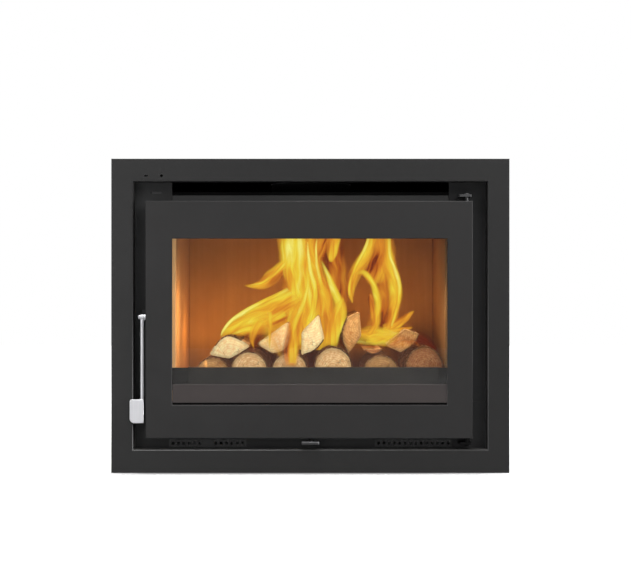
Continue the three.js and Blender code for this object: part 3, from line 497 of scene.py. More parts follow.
flameLook = {
    "streaks": (70.0, 9.0, 1.0), "streakLift": 0.2,
    "patches": (32.0, 12.0, 1.0), "patchShift": (3.0, 5.0, 0.0), "patchDrop": -0.3, "patchLift": 0.12,
    "thinnest": 0.62, "thickest": 1.2, "noiseSpan": (0.32, 0.68),
    # from red to pale yellow
    "colours": ((0.0, (0.16, 0.012, 0.002)), (0.12, (0.5, 0.11, 0.008)), (0.34, (0.74, 0.27, 0.018)),
                (0.57, (0.85, 0.45, 0.025)), (0.79, (0.88, 0.68, 0.045)), (1.0, (0.94, 0.88, 0.2))),
}


def flameBody(name):
    # warmth and veil are drawn on each tongue, and streaks follow its length
    material, tree, shader = newMaterial(name, (0, 0, 0), 1.0, gloss=0.0)
    warmth, veil = (add(tree, "Attribute", {"attribute_name": drawn}).outputs["Fac"]
                    for drawn in ("warmth", "veil"))
    streaks = texture(tree, "TexNoise", uv=True, stretch=flameLook["streaks"],
                      Scale=1.0, Detail=2.0, Distortion=0.9).outputs["Fac"]
    patches = texture(tree, "TexNoise", uv=True, stretch=flameLook["patches"],
                      shift=flameLook["patchShift"], Scale=1.0, Detail=1.0).outputs["Fac"]
    span = flameLook["noiseSpan"]
    lift = rangeOf(streaks, -flameLook["streakLift"], flameLook["streakLift"], *span)
    patchLift = rangeOf(patches, flameLook["patchDrop"], flameLook["patchLift"], *span)
    level = maths(tree, "ADD", maths(tree, "ADD", warmth, lift), patchLift, use_clamp=True)
    ramp = add(tree, "ValToRGB", Fac=level)
    stops = ramp.color_ramp.elements
    while len(stops) < len(flameLook["colours"]):
        stops.new(0.5)
    for stop, (where, colour) in zip(stops, flameLook["colours"]):
        stop.position = where
        stop.color = (*colour, 1)
    glowFrom(ramp.outputs["Color"], shader)
    thin = rangeOf(streaks, flameLook["thinnest"], flameLook["thickest"], *span)
    plug(maths(tree, "MULTIPLY", veil, thin, use_clamp=True), shader.inputs["Alpha"])
    return material


surroundPaint = metalFinish("surroundPaint", (0.0145, 0.0143, 0.0143), (0.0175, 0.0172, 0.0172),
                            (0.1, 0.1, 0.1), 0.4, wear=2.2, gloss=0.34)
lipPaint = metalFinish("lipPaint", (0.0145, 0.0143, 0.0143), (0.0175, 0.0172, 0.0172), (0.1, 0.1, 0.1),
                       0.34, wear=2.2, gloss=1.0)
doorPaint = metalFinish("doorPaint", (0.0155, 0.015, 0.015), (0.0195, 0.0187, 0.0187), (0.095, 0.094, 0.094),
                        0.45, wear=2.0, gloss=0.32)
bodyPaint = metalFinish("bodyPaint", (0.022, 0.022, 0.0225), (0.028, 0.028, 0.0285), (0.07, 0.07, 0.07),
                        0.6, wear=1.5, gloss=0.3)
# a darker copy of the body paint: painted shade on the right cheek and the sill under it
paintedShadePaint = metalFinish("paintedShadePaint", (0.017, 0.017, 0.0175), (0.022, 0.022, 0.0225), (0.05, 0.05, 0.05),
                          0.65, wear=1.2, gloss=0.25)
# a lighter copy of the body paint: painted light on the recessed lintel and the perforated strips
lintelPaint = metalFinish("lintelPaint", (0.03, 0.03, 0.03), (0.038, 0.038, 0.038), (0.09, 0.09, 0.09),
                          0.55, wear=1.2, gloss=0.4)
darkSteel = metalFinish("darkSteel", (0.05, 0.05, 0.05), (0.09, 0.09, 0.092), (0.22, 0.22, 0.22),
                        0.42, metallic=0.5, wear=1.5)
railPaint = metalFinish("railPaint", (0.031, 0.0255, 0.0245), (0.038, 0.031, 0.03), (0.12, 0.1, 0.1),
                        0.5, wear=1.5, gloss=0.3)
# plain black on black parts, and painted shade where it darkens slots, gaps and hollows
blackPaintAndPaintedShade = metalFinish("blackPaintAndPaintedShade", (0.003, 0.003, 0.003), (0.005, 0.005, 0.005), (0.01, 0.01, 0.01),
                         0.8, wear=0.5, dust=0.02, gloss=0.05)
firedSteel = metalFinish("firedSteel", (0.02, 0.018, 0.016), (0.05, 0.042, 0.036), (0.13, 0.1, 0.08),
                         0.72, metallic=0.3, grain=300.0, blotch=16.0, bump=0.5, wear=2.5, dust=0.5)
guardSteel = metalFinish("guardSteel", (0.014, 0.012, 0.0105), (0.021, 0.018, 0.0155), (0.055, 0.045, 0.036),
                         0.75, metallic=0.1, grain=500.0, blotch=22.0, bump=0.3, wear=1.2, dust=0.3)
# near-black steel for the plates at the guard's ends: painted shade
wingSteel = metalFinish("wingSteel", (0.006, 0.005, 0.004), (0.009, 0.0075, 0.006), (0.02, 0.016, 0.012),
                        0.8, grain=500.0, blotch=22.0, bump=0.3, wear=0.6, dust=0.1, gloss=0.3)
castMetal = metalFinish("castMetal", (0.03, 0.03, 0.031), (0.048, 0.048, 0.05), (0.16, 0.16, 0.16),
                        0.66, metallic=0.4, grain=260.0, blotch=14.0, bump=0.8, wear=2.5, dust=0.5)
zinc = zincSheet("zincSheet")
satinSteel = brushedMetal("satinSteel", (0.74, 0.74, 0.77), (0.88, 0.88, 0.91), 0.32, metallic=0.75)
turnedSteel = brushedMetal("turnedSteel", (0.3, 0.3, 0.31), (0.48, 0.48, 0.49), 0.38)
knobSteel = brushedMetal("knobSteel", (0.13, 0.13, 0.133), (0.22, 0.22, 0.225), 0.36, axis="X")
warmLining = liningBoard("warmLining", (0.5, 0.265, 0.1), (0.62, 0.35, 0.135), paintedTopShade=0.4)
# a darker copy of the warm board: painted shade on the right lining
paintedShadeLining = liningBoard("paintedShadeLining", (0.41, 0.215, 0.08), (0.5, 0.28, 0.108), paintedTopShade=0.4)
sideLining = liningBoard("sideLining", (0.5, 0.25, 0.09), (0.6, 0.315, 0.125),
                         farPaintedLight=0.12, sooty=0.1, paintedTopShade=0.5)
paneGlass = ceramicGlass("paneGlass")
sealKnit = ropeKnit("sealKnit")
barkCover = barkSkin("bark")
rivenWood = splitWood("rivenWood", (0.62, 0.4, 0.21), (0.38, 0.22, 0.11))
endGrains = {
    "pale": cutWood("endGrainPale", (1.0, 1.0, 0.68), (0.82, 0.68, 0.36)),
    "cream": cutWood("endGrainCream", (1.0, 0.84, 0.5), (0.64, 0.41, 0.18)),
    "tan": cutWood("endGrainTan", (0.72, 0.47, 0.2), (0.42, 0.23, 0.08)),
    "red": cutWood("endGrainRed", (0.58, 0.3, 0.12), (0.3, 0.12, 0.045)),
}
embers = coals("embers")
flame = flameBody("flame")
print("materials ready")


# tools for making pieces
bodyOf = {node: body for body, nodes in frame["record"]["behaviour"]["bodies"].items() for node in nodes}
slotOf = {part["node"]: part["material_slot"] for part in frame["record"]["subparts"]}
edgeLook = {"sharp": 28, "smooth": 32, "merge": 0.02 * mm, "flat": 0.8, "onFace": 0.1 * mm}


def camel(name):
    first, *rest = name.split("_")
    return first + "".join(word.capitalize() for word in rest)


def outwards(bm):
    bmesh.ops.recalc_face_normals(bm, faces=bm.faces[:])


def finishPiece(name, bm, body, slotName, materials, replaced=(), angle=edgeLook["smooth"], evenNormals=True):
    mesh = bpy.data.meshes.new(name)
    bm.to_mesh(mesh)
    bm.free()
    for material in materials if isinstance(materials, list) else [materials]:
        mesh.materials.append(material)
    mesh.shade_smooth()
    mesh.set_sharp_from_angle(angle=math.radians(angle))
    piece = bpy.data.objects.new(name, mesh)
    bpy.context.scene.collection.objects.link(piece)
    if evenNormals:
        even = piece.modifiers.new("evenNormals", "WEIGHTED_NORMAL")
        even.keep_sharp = True
    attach(piece, body)
    if replaced:
        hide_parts(*replaced)


def dressNode(node, bm, materials, **finish):
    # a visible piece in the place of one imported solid
    finishPiece(camel(node), bm, bodyOf[node], slotOf[node], materials, [node], **finish)


def copyOf(node):
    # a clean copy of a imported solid: loose triangles merged, flat faces joined up
    bm = bmesh.new()
    bm.from_mesh(frame["nodes"][node].data)
    bmesh.ops.remove_doubles(bm, verts=bm.verts[:], dist=edgeLook["merge"])
    bmesh.ops.dissolve_limit(bm, angle_limit=math.radians(edgeLook["flat"]),
                             verts=bm.verts[:], edges=bm.edges[:])
    return bm


def sharpEdges(bm, angle=edgeLook["sharp"]):
    limit = math.radians(angle)
    return [e for e in bm.edges if len(e.link_faces) == 2 and e.calc_face_angle(0) > limit]


def liesAt(edge, depth):
    return all(abs(v.co.y - depth) < edgeLook["onFace"] for v in edge.verts)


def roundEdges(bm, edges, width, segments=2):
    left = [e for e in edges if e.is_valid]
    if left:
        bmesh.ops.bevel(bm, geom=left, offset=width, offset_type="OFFSET", segments=segments, profile=0.5,
                        affect="EDGES", material=-1, clamp_overlap=True)


def cutAt(bm, place, normal):
    bmesh.ops.bisect_plane(bm, geom=bm.verts[:] + bm.edges[:] + bm.faces[:], plane_co=place, plane_no=normal)


def soften(node, material, width, segments=2):
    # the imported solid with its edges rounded
    bm = copyOf(node)
    roundEdges(bm, sharpEdges(bm), width, segments)
    dressNode(node, bm, material)


def boxPiece(name, low, high, body, slotName, material, width=0.4 * mm, segments=2):
    # a small plate between two corners
    low, high = Vector(low), Vector(high)
    bm = bmesh.new()
    verts = bmesh.ops.create_cube(bm, size=1)["verts"]
    bmesh.ops.scale(bm, vec=high - low, verts=verts)
    bmesh.ops.translate(bm, vec=(low + high) / 2, verts=verts)
    roundEdges(bm, bm.edges[:], width, segments)
    finishPiece(name, bm, body, slotName, material)


def turnProfile(bm, profile, centre, axis, segments=48):
    # spins [radius, height] points round an axis and closes it
    side = right if abs(axis.x) < 0.5 else up
    verts = [bm.verts.new(centre + side * radius + axis * height) for radius, height in profile]
    edges = [bm.edges.new(pair) for pair in zip(verts, verts[1:])]
    bmesh.ops.spin(bm, geom=verts + edges, cent=centre, axis=axis, angle=math.tau, steps=segments,
                   use_merge=True)
    bmesh.ops.remove_doubles(bm, verts=bm.verts[:], dist=0.001 * mm)


def turnedNode(node, profile, centre, axis, material, segments=48, angle=40):
    bm = bmesh.new()
    turnProfile(bm, profile, centre, axis, segments)
    outwards(bm)
    dressNode(node, bm, material, angle=angle, evenNormals=False)


def chamfered(points, size):
    # cuts every corner of a turned profile by a small chamfer
    cut = [points[0]]
    for before, here, after in zip(points, points[1:], points[2:]):
        for other in (before, after):
            step = Vector(other) - Vector(here)
            reach = min(size, step.length * 0.4)
            cut.append(tuple(Vector(here) + step.normalized() * reach))
    return cut + [points[-1]]


def centreOf(node):
    low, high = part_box(node)
    return (low + high) / 2, low, high


print("tools ready")


# surround
surround = {"lipRadius": 2.6 * mm, "lipInside": 20 * mm, "outerRadius": 0.7 * mm, "rearRadius": 0.4 * mm,
            "rimWidth": 1 * mm, "longEdge": 100 * mm, "facingFront": -0.98}


def makeSurround():
    bm = copyOf("surround_frame")
    low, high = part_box("surround_frame")

    def inFromRim(place):
        return min(place.x - low.x, high.x - place.x, place.z - low.z, high.z - place.z)

    def atRim(edge):
        return inFromRim((edge.verts[0].co + edge.verts[1].co) / 2) < surround["rimWidth"]

    edges = sharpEdges(bm)
    long = [e for e in edges if e.calc_length() > surround["longEdge"]]
    lip = [e for e in long if liesAt(e, low.y) and not atRim(e)]
    rim = [e for e in edges if liesAt(e, low.y) and atRim(e)]
    other = [e for e in long if e not in lip and e not in rim]
    roundEdges(bm, lip, surround["lipRadius"], 5)
    roundEdges(bm, rim, surround["outerRadius"], 3)
    roundEdges(bm, other, surround["rearRadius"], 1)
    # the rolled lip has a glossier coat than the flat
    for face in bm.faces:
        middle = face.calc_center_median()
        rolled = middle.y < low.y + surround["lipRadius"] and face.normal.y > surround["facingFront"]
        if rolled and inFromRim(middle) > surround["lipInside"]:
            face.material_index = 1
    dressNode("surround_frame", bm, [surroundPaint, lipPaint], angle=50)


makeSurround()
print("surround made")


# front plates
def makeSill():
    # right of the door the sill takes the darker paint of the cheek over it: painted shade
    bm = copyOf("front_sill")
    roundEdges(bm, sharpEdges(bm), 0.8 * mm)
    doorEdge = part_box("door_frame")[1].x
    cutAt(bm, (doorEdge, 0, 0), right)
    for face in bm.faces:
        face.material_index = 1 if face.calc_center_median().x > doorEdge else 0
    dressNode("front_sill", bm, [bodyPaint, paintedShadePaint])


soften("front_cheek_left", bodyPaint, 0.4 * mm)
# painted shade: the right cheek gets the darker copy of the body paint
soften("front_cheek_right", paintedShadePaint, 0.4 * mm)
# painted light: the lintel gets the lighter copy of the body paint
soften("front_lintel", lintelPaint, 0.8 * mm)
makeSill()

# perforated strips, and the wall of the air box seen dimly through their holes
grille = {"holeRadius": 2.6 * mm, "pitch": 9.5 * mm, "holeRise": 7.5 * mm, "margin": 7.3 * mm,
          "cell": 0.92, "edge": 0.25 * mm, "groupStep": 75.9 * mm,
          "groups": {"air_grille_left": (6, 6), "air_grille_right": (14,)},
          "boxDepth": 38 * mm, "boxRise": 8 * mm, "boxSheet": 1 * mm}


def makeGrille(node, holes):
    # a strip cut into cells, each holed cell bridged to its circle, then given its thickness
    low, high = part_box(node)
    bm = bmesh.new()
    strip = ((low.x, low.z), (high.x, low.z), (high.x, high.z), (low.x, high.z))
    bm.faces.new([bm.verts.new((x, low.y, z)) for x, z in strip])
    middle = low.z + grille["holeRise"]
    half = grille["pitch"] * grille["cell"] / 2
    for x in sorted(hole + side for hole in holes for side in (-half, half)):
        cutAt(bm, (x, 0, 0), right)
    for z in (middle - half, middle + half):
        cutAt(bm, (0, 0, z), up)
    for hole in holes:
        place = Vector((hole, low.y, middle))
        cell = min(bm.faces, key=lambda f: (f.calc_center_median() - place).length)
        around = list(cell.edges)
        bmesh.ops.delete(bm, geom=[cell], context="FACES_ONLY")
        ring = bmesh.ops.create_circle(
            bm, segments=24, radius=grille["holeRadius"], cap_ends=False,
            matrix=Matrix.Translation(place) @ Matrix.Rotation(math.radians(90), 4, "X"))
        circle = list({e for v in ring["verts"] for e in v.link_edges})
        bmesh.ops.bridge_loops(bm, edges=around + circle)
    outwards(bm)
    if bm.faces[0].normal.y > 0:
        bmesh.ops.reverse_faces(bm, faces=bm.faces[:])
    bmesh.ops.solidify(bm, geom=bm.faces[:], thickness=high.y - low.y)
    outwards(bm)
    roundEdges(bm, [e for e in sharpEdges(bm, 50) if liesAt(e, low.y)], grille["edge"], 1)
    # painted light: the strip gets the lighter copy of the body paint
    dressNode(node, bm, lintelPaint, angle=40)


def makeAirBox(node):
    low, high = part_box(node)
    near = high.y + grille["boxDepth"]
    boxPiece("airBox" + node.split("_")[-1].capitalize(), (low.x, near, low.z - grille["boxRise"]),
             (high.x, near + grille["boxSheet"], high.z + grille["boxRise"]), "root", "casing_sheet", zinc,
             0.2 * mm, 1)


for node, groups in grille["groups"].items():
    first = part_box(node)[0].x + grille["margin"]
    makeGrille(node, [first + group * grille["groupStep"] + i * grille["pitch"]
                      for group, count in enumerate(groups) for i in range(count)])
for node in grille["groups"]:
    makeAirBox(node)
print("front plates made")


# casing, firebox and lining
fireMiddle = Vector((0, -0.02, 0.28))


def twoFacedPlate(node, outside, inside):
    # one finish on the face towards the fire, another on the rest; where that is black it is painted shade
    bm = copyOf(node)
    roundEdges(bm, sharpEdges(bm), 0.6 * mm)
    middle, low, high = centreOf(node)
    thin = min(range(3), key=lambda axis: (high - low)[axis])
    inwards = 1 if middle[thin] < fireMiddle[thin] else -1
    for face in bm.faces:
        if face.normal[thin] * inwards > 0.5:
            face.material_index = 1
    dressNode(node, bm, [outside, inside])


# painted shade: black on the casing's inner faces and the firebox's outer faces, so the slots and gaps look
# dark
for plate in ("left", "right", "back", "top", "base"):
    twoFacedPlate("casing_" + plate, zinc, blackPaintAndPaintedShade)
for plate in ("left", "right", "back", "top", "floor"):
    twoFacedPlate("firebox_" + plate, blackPaintAndPaintedShade, firedSteel)
soften("smoke_deflector", firedSteel, 0.6 * mm)
for board in ("lining_back", "hearth_brick", "smoke_baffle"):
    soften(board, warmLining, 0.5 * mm)
# painted shade: the right lining gets the darker board
soften("lining_right", paintedShadeLining, 0.5 * mm)
soften("lining_left", sideLining, 0.5 * mm)
soften("log_guard", guardSteel, 0.8 * mm, 3)

# thin strips and plates that close slits, or lie behind small openings
wing = {"gap": 0.4 * mm, "setBack": 0.8 * mm, "overlap": 2 * mm, "sheet": 1.2 * mm}
seal = {"gap": 0.4 * mm, "sheet": 2 * mm, "below": 4 * mm, "above": 6 * mm}
seam = {"gap": 0.4 * mm, "sheet": 1.6 * mm, "inset": 4 * mm, "below": 5 * mm, "above": 0.1 * mm}
spareSlot = {"column": 155.5, "row": 192.5, "half": (11 * mm, 5 * mm), "gap": 0.2 * mm, "sheet": 1 * mm}
marks = {"drop": 30 * mm, "behind": 4 * mm, "rise": 4 * mm, "sheet": 1 * mm,
         # how far each mark is from the surround's left edge, and half its plug's width
         "places": {"markPlugSlot": (61.1 * mm, 5 * mm), "markPlugHole": (88.3 * mm, 4 * mm)}}


# painted shade: near-black plates close the guard's ends, where the gaps to the linings lie in shade
def closeGuardEnds():
    low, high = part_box("log_guard")
    cheekLow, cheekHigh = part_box("front_cheek_left")
    inside = cheekHigh.x + wing["gap"]
    front = cheekLow.y + wing["setBack"]
    for name, leftEnd, rightEnd in (("guardWingLeft", inside, low.x + wing["overlap"]),
                                    ("guardWingRight", high.x - wing["overlap"], -inside)):
        boxPiece(name, (leftEnd, front, low.z), (rightEnd, front + wing["sheet"], high.z),
                 "root", "firebox_steel", wingSteel)


def closeSeams():
    low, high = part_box("front_lintel")
    front = high.y + seal["gap"]
    boxPiece("lintelSeal", (low.x, front, high.z - seal["below"]),
             (high.x, front + seal["sheet"], high.z + seal["above"]), "root", "seal_rope", blackPaintAndPaintedShade)
    low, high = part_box("casing_back")
    rear = low.y - seam["gap"]
    boxPiece("casingSeam", (low.x + seam["inset"], rear - seam["sheet"], high.z - seam["below"]),
             (high.x - seam["inset"], rear, high.z + seam["above"]), "root", "casing_sheet", blackPaintAndPaintedShade)


def plugOpenings():
    low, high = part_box("front_cheek_left")
    place = fromPhoto(spareSlot["column"], spareSlot["row"], low.y)
    width, rise = spareSlot["half"]
    front = high.y + spareSlot["gap"]
    boxPiece("spareSlotPlug", (place.x - width, front, place.z - rise),
             (place.x + width, front + spareSlot["sheet"], place.z + rise), "root", "bare_steel", darkSteel)
    # painted shade: black plugs behind the surround's slot and hole
    low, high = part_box("surround_frame")
    front = low.y + marks["behind"]
    for name, (inset, half) in marks["places"].items():
        x, z = low.x + inset, high.z - marks["drop"]
        boxPiece(name, (x - half, front, z - marks["rise"]),
                 (x + half, front + marks["sheet"], z + marks["rise"]), "root", "surround_paint", blackPaintAndPaintedShade)


closeGuardEnds()
closeSeams()
plugOpenings()
for part in ("air_duct", "air_valve_plate"):
    soften(part, zinc, 0.4 * mm)
for part in ("hinge_bracket_upper", "latch_keeper"):
    soften(part, castMetal, 0.6 * mm)
soften("hinge_bracket_lower", blackPaintAndPaintedShade, 0.6 * mm)
soften("glass_retainer", blackPaintAndPaintedShade, 0.5 * mm)
print("casing and firebox made")


# feet, collar, spigot, pins and the air control's rod
foot = {"pad": 18 * mm, "padRise": 6 * mm, "rim": 1 * mm, "shoulder": 0.62, "shoulderRise": (0.55, 0.95),
        "stem": 6 * mm, "thread": 1.5 * mm, "threadDepth": 0.5 * mm,
        "nut": 12 * mm, "nutRise": 10 * mm, "nutSlack": 0.2 * mm, "nutEdge": 0.7 * mm, "gap": 0.3 * mm}
onAxis = 0.1 * mm      # a turned profile starts and ends this near its axis


def makeFoot(node):
    centre, low, high = centreOf(node)
    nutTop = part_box("casing_base")[0].z - foot["gap"]
    nutLow = nutTop - foot["nutRise"]
    top = high.z - low.z
    pad, rise, stem, thread = foot["pad"], foot["padRise"], foot["stem"], foot["thread"]
    groove = stem - foot["threadDepth"]
    edge, shoulder = (rise * share for share in foot["shoulderRise"])
    profile = [(onAxis, 0), (pad - foot["rim"], 0), (pad, foot["rim"]), (pad, edge),
               (pad * foot["shoulder"], shoulder), (stem, rise)]
    for i in range(int((nutLow - rise) / thread)):
        height = rise + thread * (i + 0.25)
        profile += [(groove, height), (stem, height + thread / 2)]
    profile += [(stem, nutLow), (stem, nutTop)]
    for i in range(int((top - nutTop) / thread) - 1):
        height = nutTop + thread * (i + 0.5)
        profile += [(stem, height), (groove, height + thread / 2)]
    profile += [(groove - 0.1 * mm, top), (onAxis, top)]
    bm = bmesh.new()
    turnProfile(bm, profile, Vector((centre.x, centre.y, low.z)), up, 36)
    nut = bmesh.ops.create_cone(bm, cap_ends=True, segments=6, radius1=foot["nut"], radius2=foot["nut"],
                                depth=foot["nutRise"] - foot["nutSlack"],
                                matrix=Matrix.Translation((centre.x, centre.y, (nutLow + nutTop) / 2)))
    roundEdges(bm, list({e for v in nut["verts"] for e in v.link_edges}), foot["nutEdge"])
    outwards(bm)
    dressNode(node, bm, turnedSteel, angle=35)


for number in (1, 2, 3, 4):
    makeFoot(f"levelling_foot_{number}")

collar = {"bore": 71 * mm, "tube": 75 * mm, "flange": 92 * mm, "sheet": 4 * mm, "edge": 0.8 * mm,
          "lip": 1 * mm, "weld": 3 * mm, "groove": 0.7 * mm, "grooveDrop": 16 * mm, "grooveStep": 2 * mm}


def makeCollar():
    centre, low, high = centreOf("flue_collar")
    bore, tube, flange, sheet = collar["bore"], collar["tube"], collar["flange"], collar["sheet"]
    edge, lip, weld = collar["edge"], collar["lip"], collar["weld"]
    top = high.z - low.z
    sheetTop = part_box("casing_top")[0].z
    narrow, start, step = tube - collar["groove"], top - collar["grooveDrop"], collar["grooveStep"]
    profile = [(bore, lip), (bore, 0), (flange - edge, 0), (flange, edge), (flange, sheet - edge),
               (flange - edge, sheet), (tube + weld, sheet), (tube + edge, sheet + edge),
               (tube, sheet + weld), (tube, sheetTop - low.z), (tube, start), (narrow, start + step),
               (narrow, start + 2 * step), (tube, start + 3 * step), (tube, top - lip), (tube - lip, top),
               (bore + lip, top), (bore, top - lip), (bore, lip)]
    bm = bmesh.new()
    turnProfile(bm, profile, Vector((centre.x, centre.y, low.z)), up, 72)
    outwards(bm)
    # painted shade: black in the casing, so that nothing pale shows through the warm-air slot
    for face in bm.faces:
        face.material_index = 1 if face.calc_center_median().z < sheetTop else 0
    dressNode("flue_collar", bm, [castMetal, blackPaintAndPaintedShade], angle=35, evenNormals=False)


spigot = {"inner": 38.5 * mm, "outer": 40 * mm, "flange": 52 * mm, "flangeSheet": 2 * mm, "weld": 1 * mm,
          "edge": 0.3 * mm, "flangeEdge": 0.4 * mm, "gap": 0.3 * mm,
          "bead": 1.4 * mm, "beadDrop": 12 * mm, "beadFoot": 3 * mm, "beadCrown": 1 * mm}


def makeSpigot():
    centre, low, high = centreOf("air_spigot")
    inner, outer, flange = spigot["inner"], spigot["outer"], spigot["flange"]
    edge, rim, weld = spigot["edge"], spigot["flangeEdge"], spigot["weld"]
    length = high.y - low.y
    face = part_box("casing_back")[1].y + spigot["gap"] - low.y
    rear = face + spigot["flangeSheet"]
    bead, beadTop = length - spigot["beadDrop"], outer + spigot["bead"]
    reach, crown = spigot["beadFoot"], spigot["beadCrown"]
    profile = [(inner, edge), (inner + edge, 0), (outer - edge, 0), (outer, edge), (outer, face),
               (flange - rim, face), (flange, face + rim), (flange, rear - rim), (flange - rim, rear),
               (outer + weld, rear), (outer, rear + weld), (outer, bead - reach), (beadTop, bead - crown),
               (beadTop, bead + crown), (outer, bead + reach), (outer, length - edge),
               (outer - edge, length), (inner + edge, length), (inner, length - edge), (inner, edge)]
    turnedNode("air_spigot", profile, Vector((centre.x, low.y, centre.z)), back, zinc, 64, 35)


makeCollar()
makeSpigot()

pin = {"radius": 3 * mm, "head": 4.4 * mm, "headRise": 2 * mm, "headEdge": 1 * mm, "collar": 5.5 * mm,
       "bevel": 0.8 * mm, "gap": 0.3 * mm, "upperChamfer": 0.4 * mm, "lowerChamfer": 0.3 * mm}


def makeHingePins():
    radius, head, edge, bevel = pin["radius"], pin["head"], pin["headEdge"], pin["bevel"]
    centre, low, high = centreOf("hinge_pin_upper")
    top = high.z - low.z
    under = top - pin["headRise"]
    profile = [(onAxis, 0), (radius, 0), (radius, under), (head, under), (head, top - bevel),
               (head - edge, top), (onAxis, top)]
    turnedNode("hinge_pin_upper", chamfered(profile, pin["upperChamfer"]),
               Vector((centre.x, centre.y, low.z)), up, darkSteel)
    centre, low, high = centreOf("hinge_pin_lower")
    bracketLow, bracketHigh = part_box("hinge_bracket_lower")
    headTop = bracketLow.z - low.z - pin["gap"]
    collarLow = bracketHigh.z - low.z + pin["gap"]
    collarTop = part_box("door_frame")[0].z - low.z - pin["gap"]
    top = high.z - low.z
    profile = [(onAxis, 0), (head - edge, 0), (head, bevel), (head, headTop), (radius, headTop),
               (radius, collarLow), (pin["collar"], collarLow), (pin["collar"], collarTop),
               (radius, collarTop), (radius, top), (onAxis, top)]
    turnedNode("hinge_pin_lower", chamfered(profile, pin["lowerChamfer"]),
               Vector((centre.x, centre.y, low.z)), up, blackPaintAndPaintedShade)


pivot = {"head": 3.8 * mm, "headRise": 3 * mm, "shank": 2.2 * mm, "bevel": 0.8 * mm, "chamfer": 0.3 * mm}


def makePivotPin():
    centre, low, high = centreOf("handle_pivot_pin")
    head, rise, shank, bevel = pivot["head"], pivot["headRise"], pivot["shank"], pivot["bevel"]
    length = high.x - low.x
    profile = [(onAxis, 0), (head - bevel, 0), (head, bevel), (head, rise), (shank, rise), (shank, length),
               (onAxis, length)]
    turnedNode("handle_pivot_pin", chamfered(profile, pivot["chamfer"]),
               Vector((low.x, centre.y, centre.z)), right, satinSteel)


control = {"rod": 3.5 * mm, "rodChamfer": 0.5 * mm, "knobEdge": 0.8 * mm}


def makeControl():
    centre, low, high = centreOf("air_control_rod")
    radius, length = control["rod"], high.y - low.y
    profile = [(onAxis, 0), (radius, 0), (radius, length), (onAxis, length)]
    turnedNode("air_control_rod", chamfered(profile, control["rodChamfer"]),
               Vector((centre.x, low.y, centre.z)), back, turnedSteel)
    soften("air_control_knob", knobSteel, control["knobEdge"], 3)


makeHingePins()
makePivotPin()
makeControl()
print("turned parts made")


# door
door = {"edge": 1.6 * mm, "other": 0.4 * mm, "shortEdge": 4 * mm}


def makeDoorFrame():
    bm = copyOf("door_frame")
    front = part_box("door_frame")[0].y
    edges = [e for e in sharpEdges(bm) if e.calc_length() > door["shortEdge"]]
    seen = [e for e in edges if liesAt(e, front)]
    other = [e for e in edges if e not in seen]
    roundEdges(bm, seen, door["edge"], 4)
    roundEdges(bm, other, door["other"], 1)
    dressNode("door_frame", bm, doorPaint, angle=50)


strip = {"inset": 0.3 * mm, "front": 1 * mm, "rear": 0.2 * mm, "height": 3.4 * mm, "gap": 0.2 * mm}


def makePaintedRailShadow():
    # a black strip on the glass under its rail: painted shadow of the rail
    low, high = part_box("glass_rail")
    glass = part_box("door_glass")[0].y
    top = low.z - strip["gap"]
    boxPiece("railStrip", (low.x + strip["inset"], glass - strip["front"], top - strip["height"]),
             (high.x - strip["inset"], glass - strip["rear"], top), "door", "seal_rope", blackPaintAndPaintedShade,
             0.2 * mm, 1)


makeDoorFrame()
soften("door_glass", paneGlass, 0.4 * mm, 1)
soften("glass_rail", railPaint, 0.8 * mm, 3)
soften("latch_hook", turnedSteel, 0.4 * mm)
makePaintedRailShadow()

rope = {"turn": 14 * mm, "cornerSteps": 8, "step": 12 * mm, "around": 14}


def ropePath(low, high, radius):
    # the rope's middle line as (place, angle of the outward side), corner by corner
    turn = rope["turn"]
    left, rightEnd = low.x + radius + turn, high.x - radius - turn
    bottom, top = low.z + radius + turn, high.z - radius - turn
    corners = ((rightEnd, top), (left, top), (left, bottom), (rightEnd, bottom))
    path = []
    for number, corner in enumerate(corners):
        for step in range(rope["cornerSteps"] + 1):
            angle = math.radians(90 * (number + step / rope["cornerSteps"]))
            reach = Vector((math.cos(angle), math.sin(angle))) * turn
            path.append((Vector(corner) + reach, angle))
        begin = Vector(corner) + reach
        finish = Vector(corners[(number + 1) % 4]) + reach
        steps = max(2, int((finish - begin).length / rope["step"]))
        path += [(begin.lerp(finish, step / steps), angle) for step in range(1, steps)]
    return path


def makeRope():
    # a round rope laid in its channel: corners turned, knit along its length
    low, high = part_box("door_rope_seal")
    radius = (high.y - low.y) / 2
    around = rope["around"]
    bm = bmesh.new()
    uvLayer = bm.loops.layers.uv.new("UVMap")
    rings = []
    for place, angle in ropePath(low, high, radius):
        outside = Vector((math.cos(angle), 0, math.sin(angle)))
        centre = Vector((place.x, low.y + radius, place.y))
        turns = [i / around * math.tau for i in range(around)]
        rings.append([bm.verts.new(centre + outside * radius * math.cos(t) + back * radius * math.sin(t))
                      for t in turns])
    across = radius * math.tau / around
    travelled = 0.0
    for ring, following in zip(rings, rings[1:] + rings[:1]):
        reached = travelled + (following[0].co - ring[0].co).length
        for i in range(around):
            j = (i + 1) % around
            face = bm.faces.new((ring[i], ring[j], following[j], following[i]))
            places = ((travelled, i), (travelled, i + 1), (reached, i + 1), (reached, i))
            for loop, (along, side) in zip(face.loops, places):
                loop[uvLayer].uv = (along, side * across)
        travelled = reached
    outwards(bm)
    dressNode("door_rope_seal", bm, sealKnit, angle=80, evenNormals=False)


makeRope()

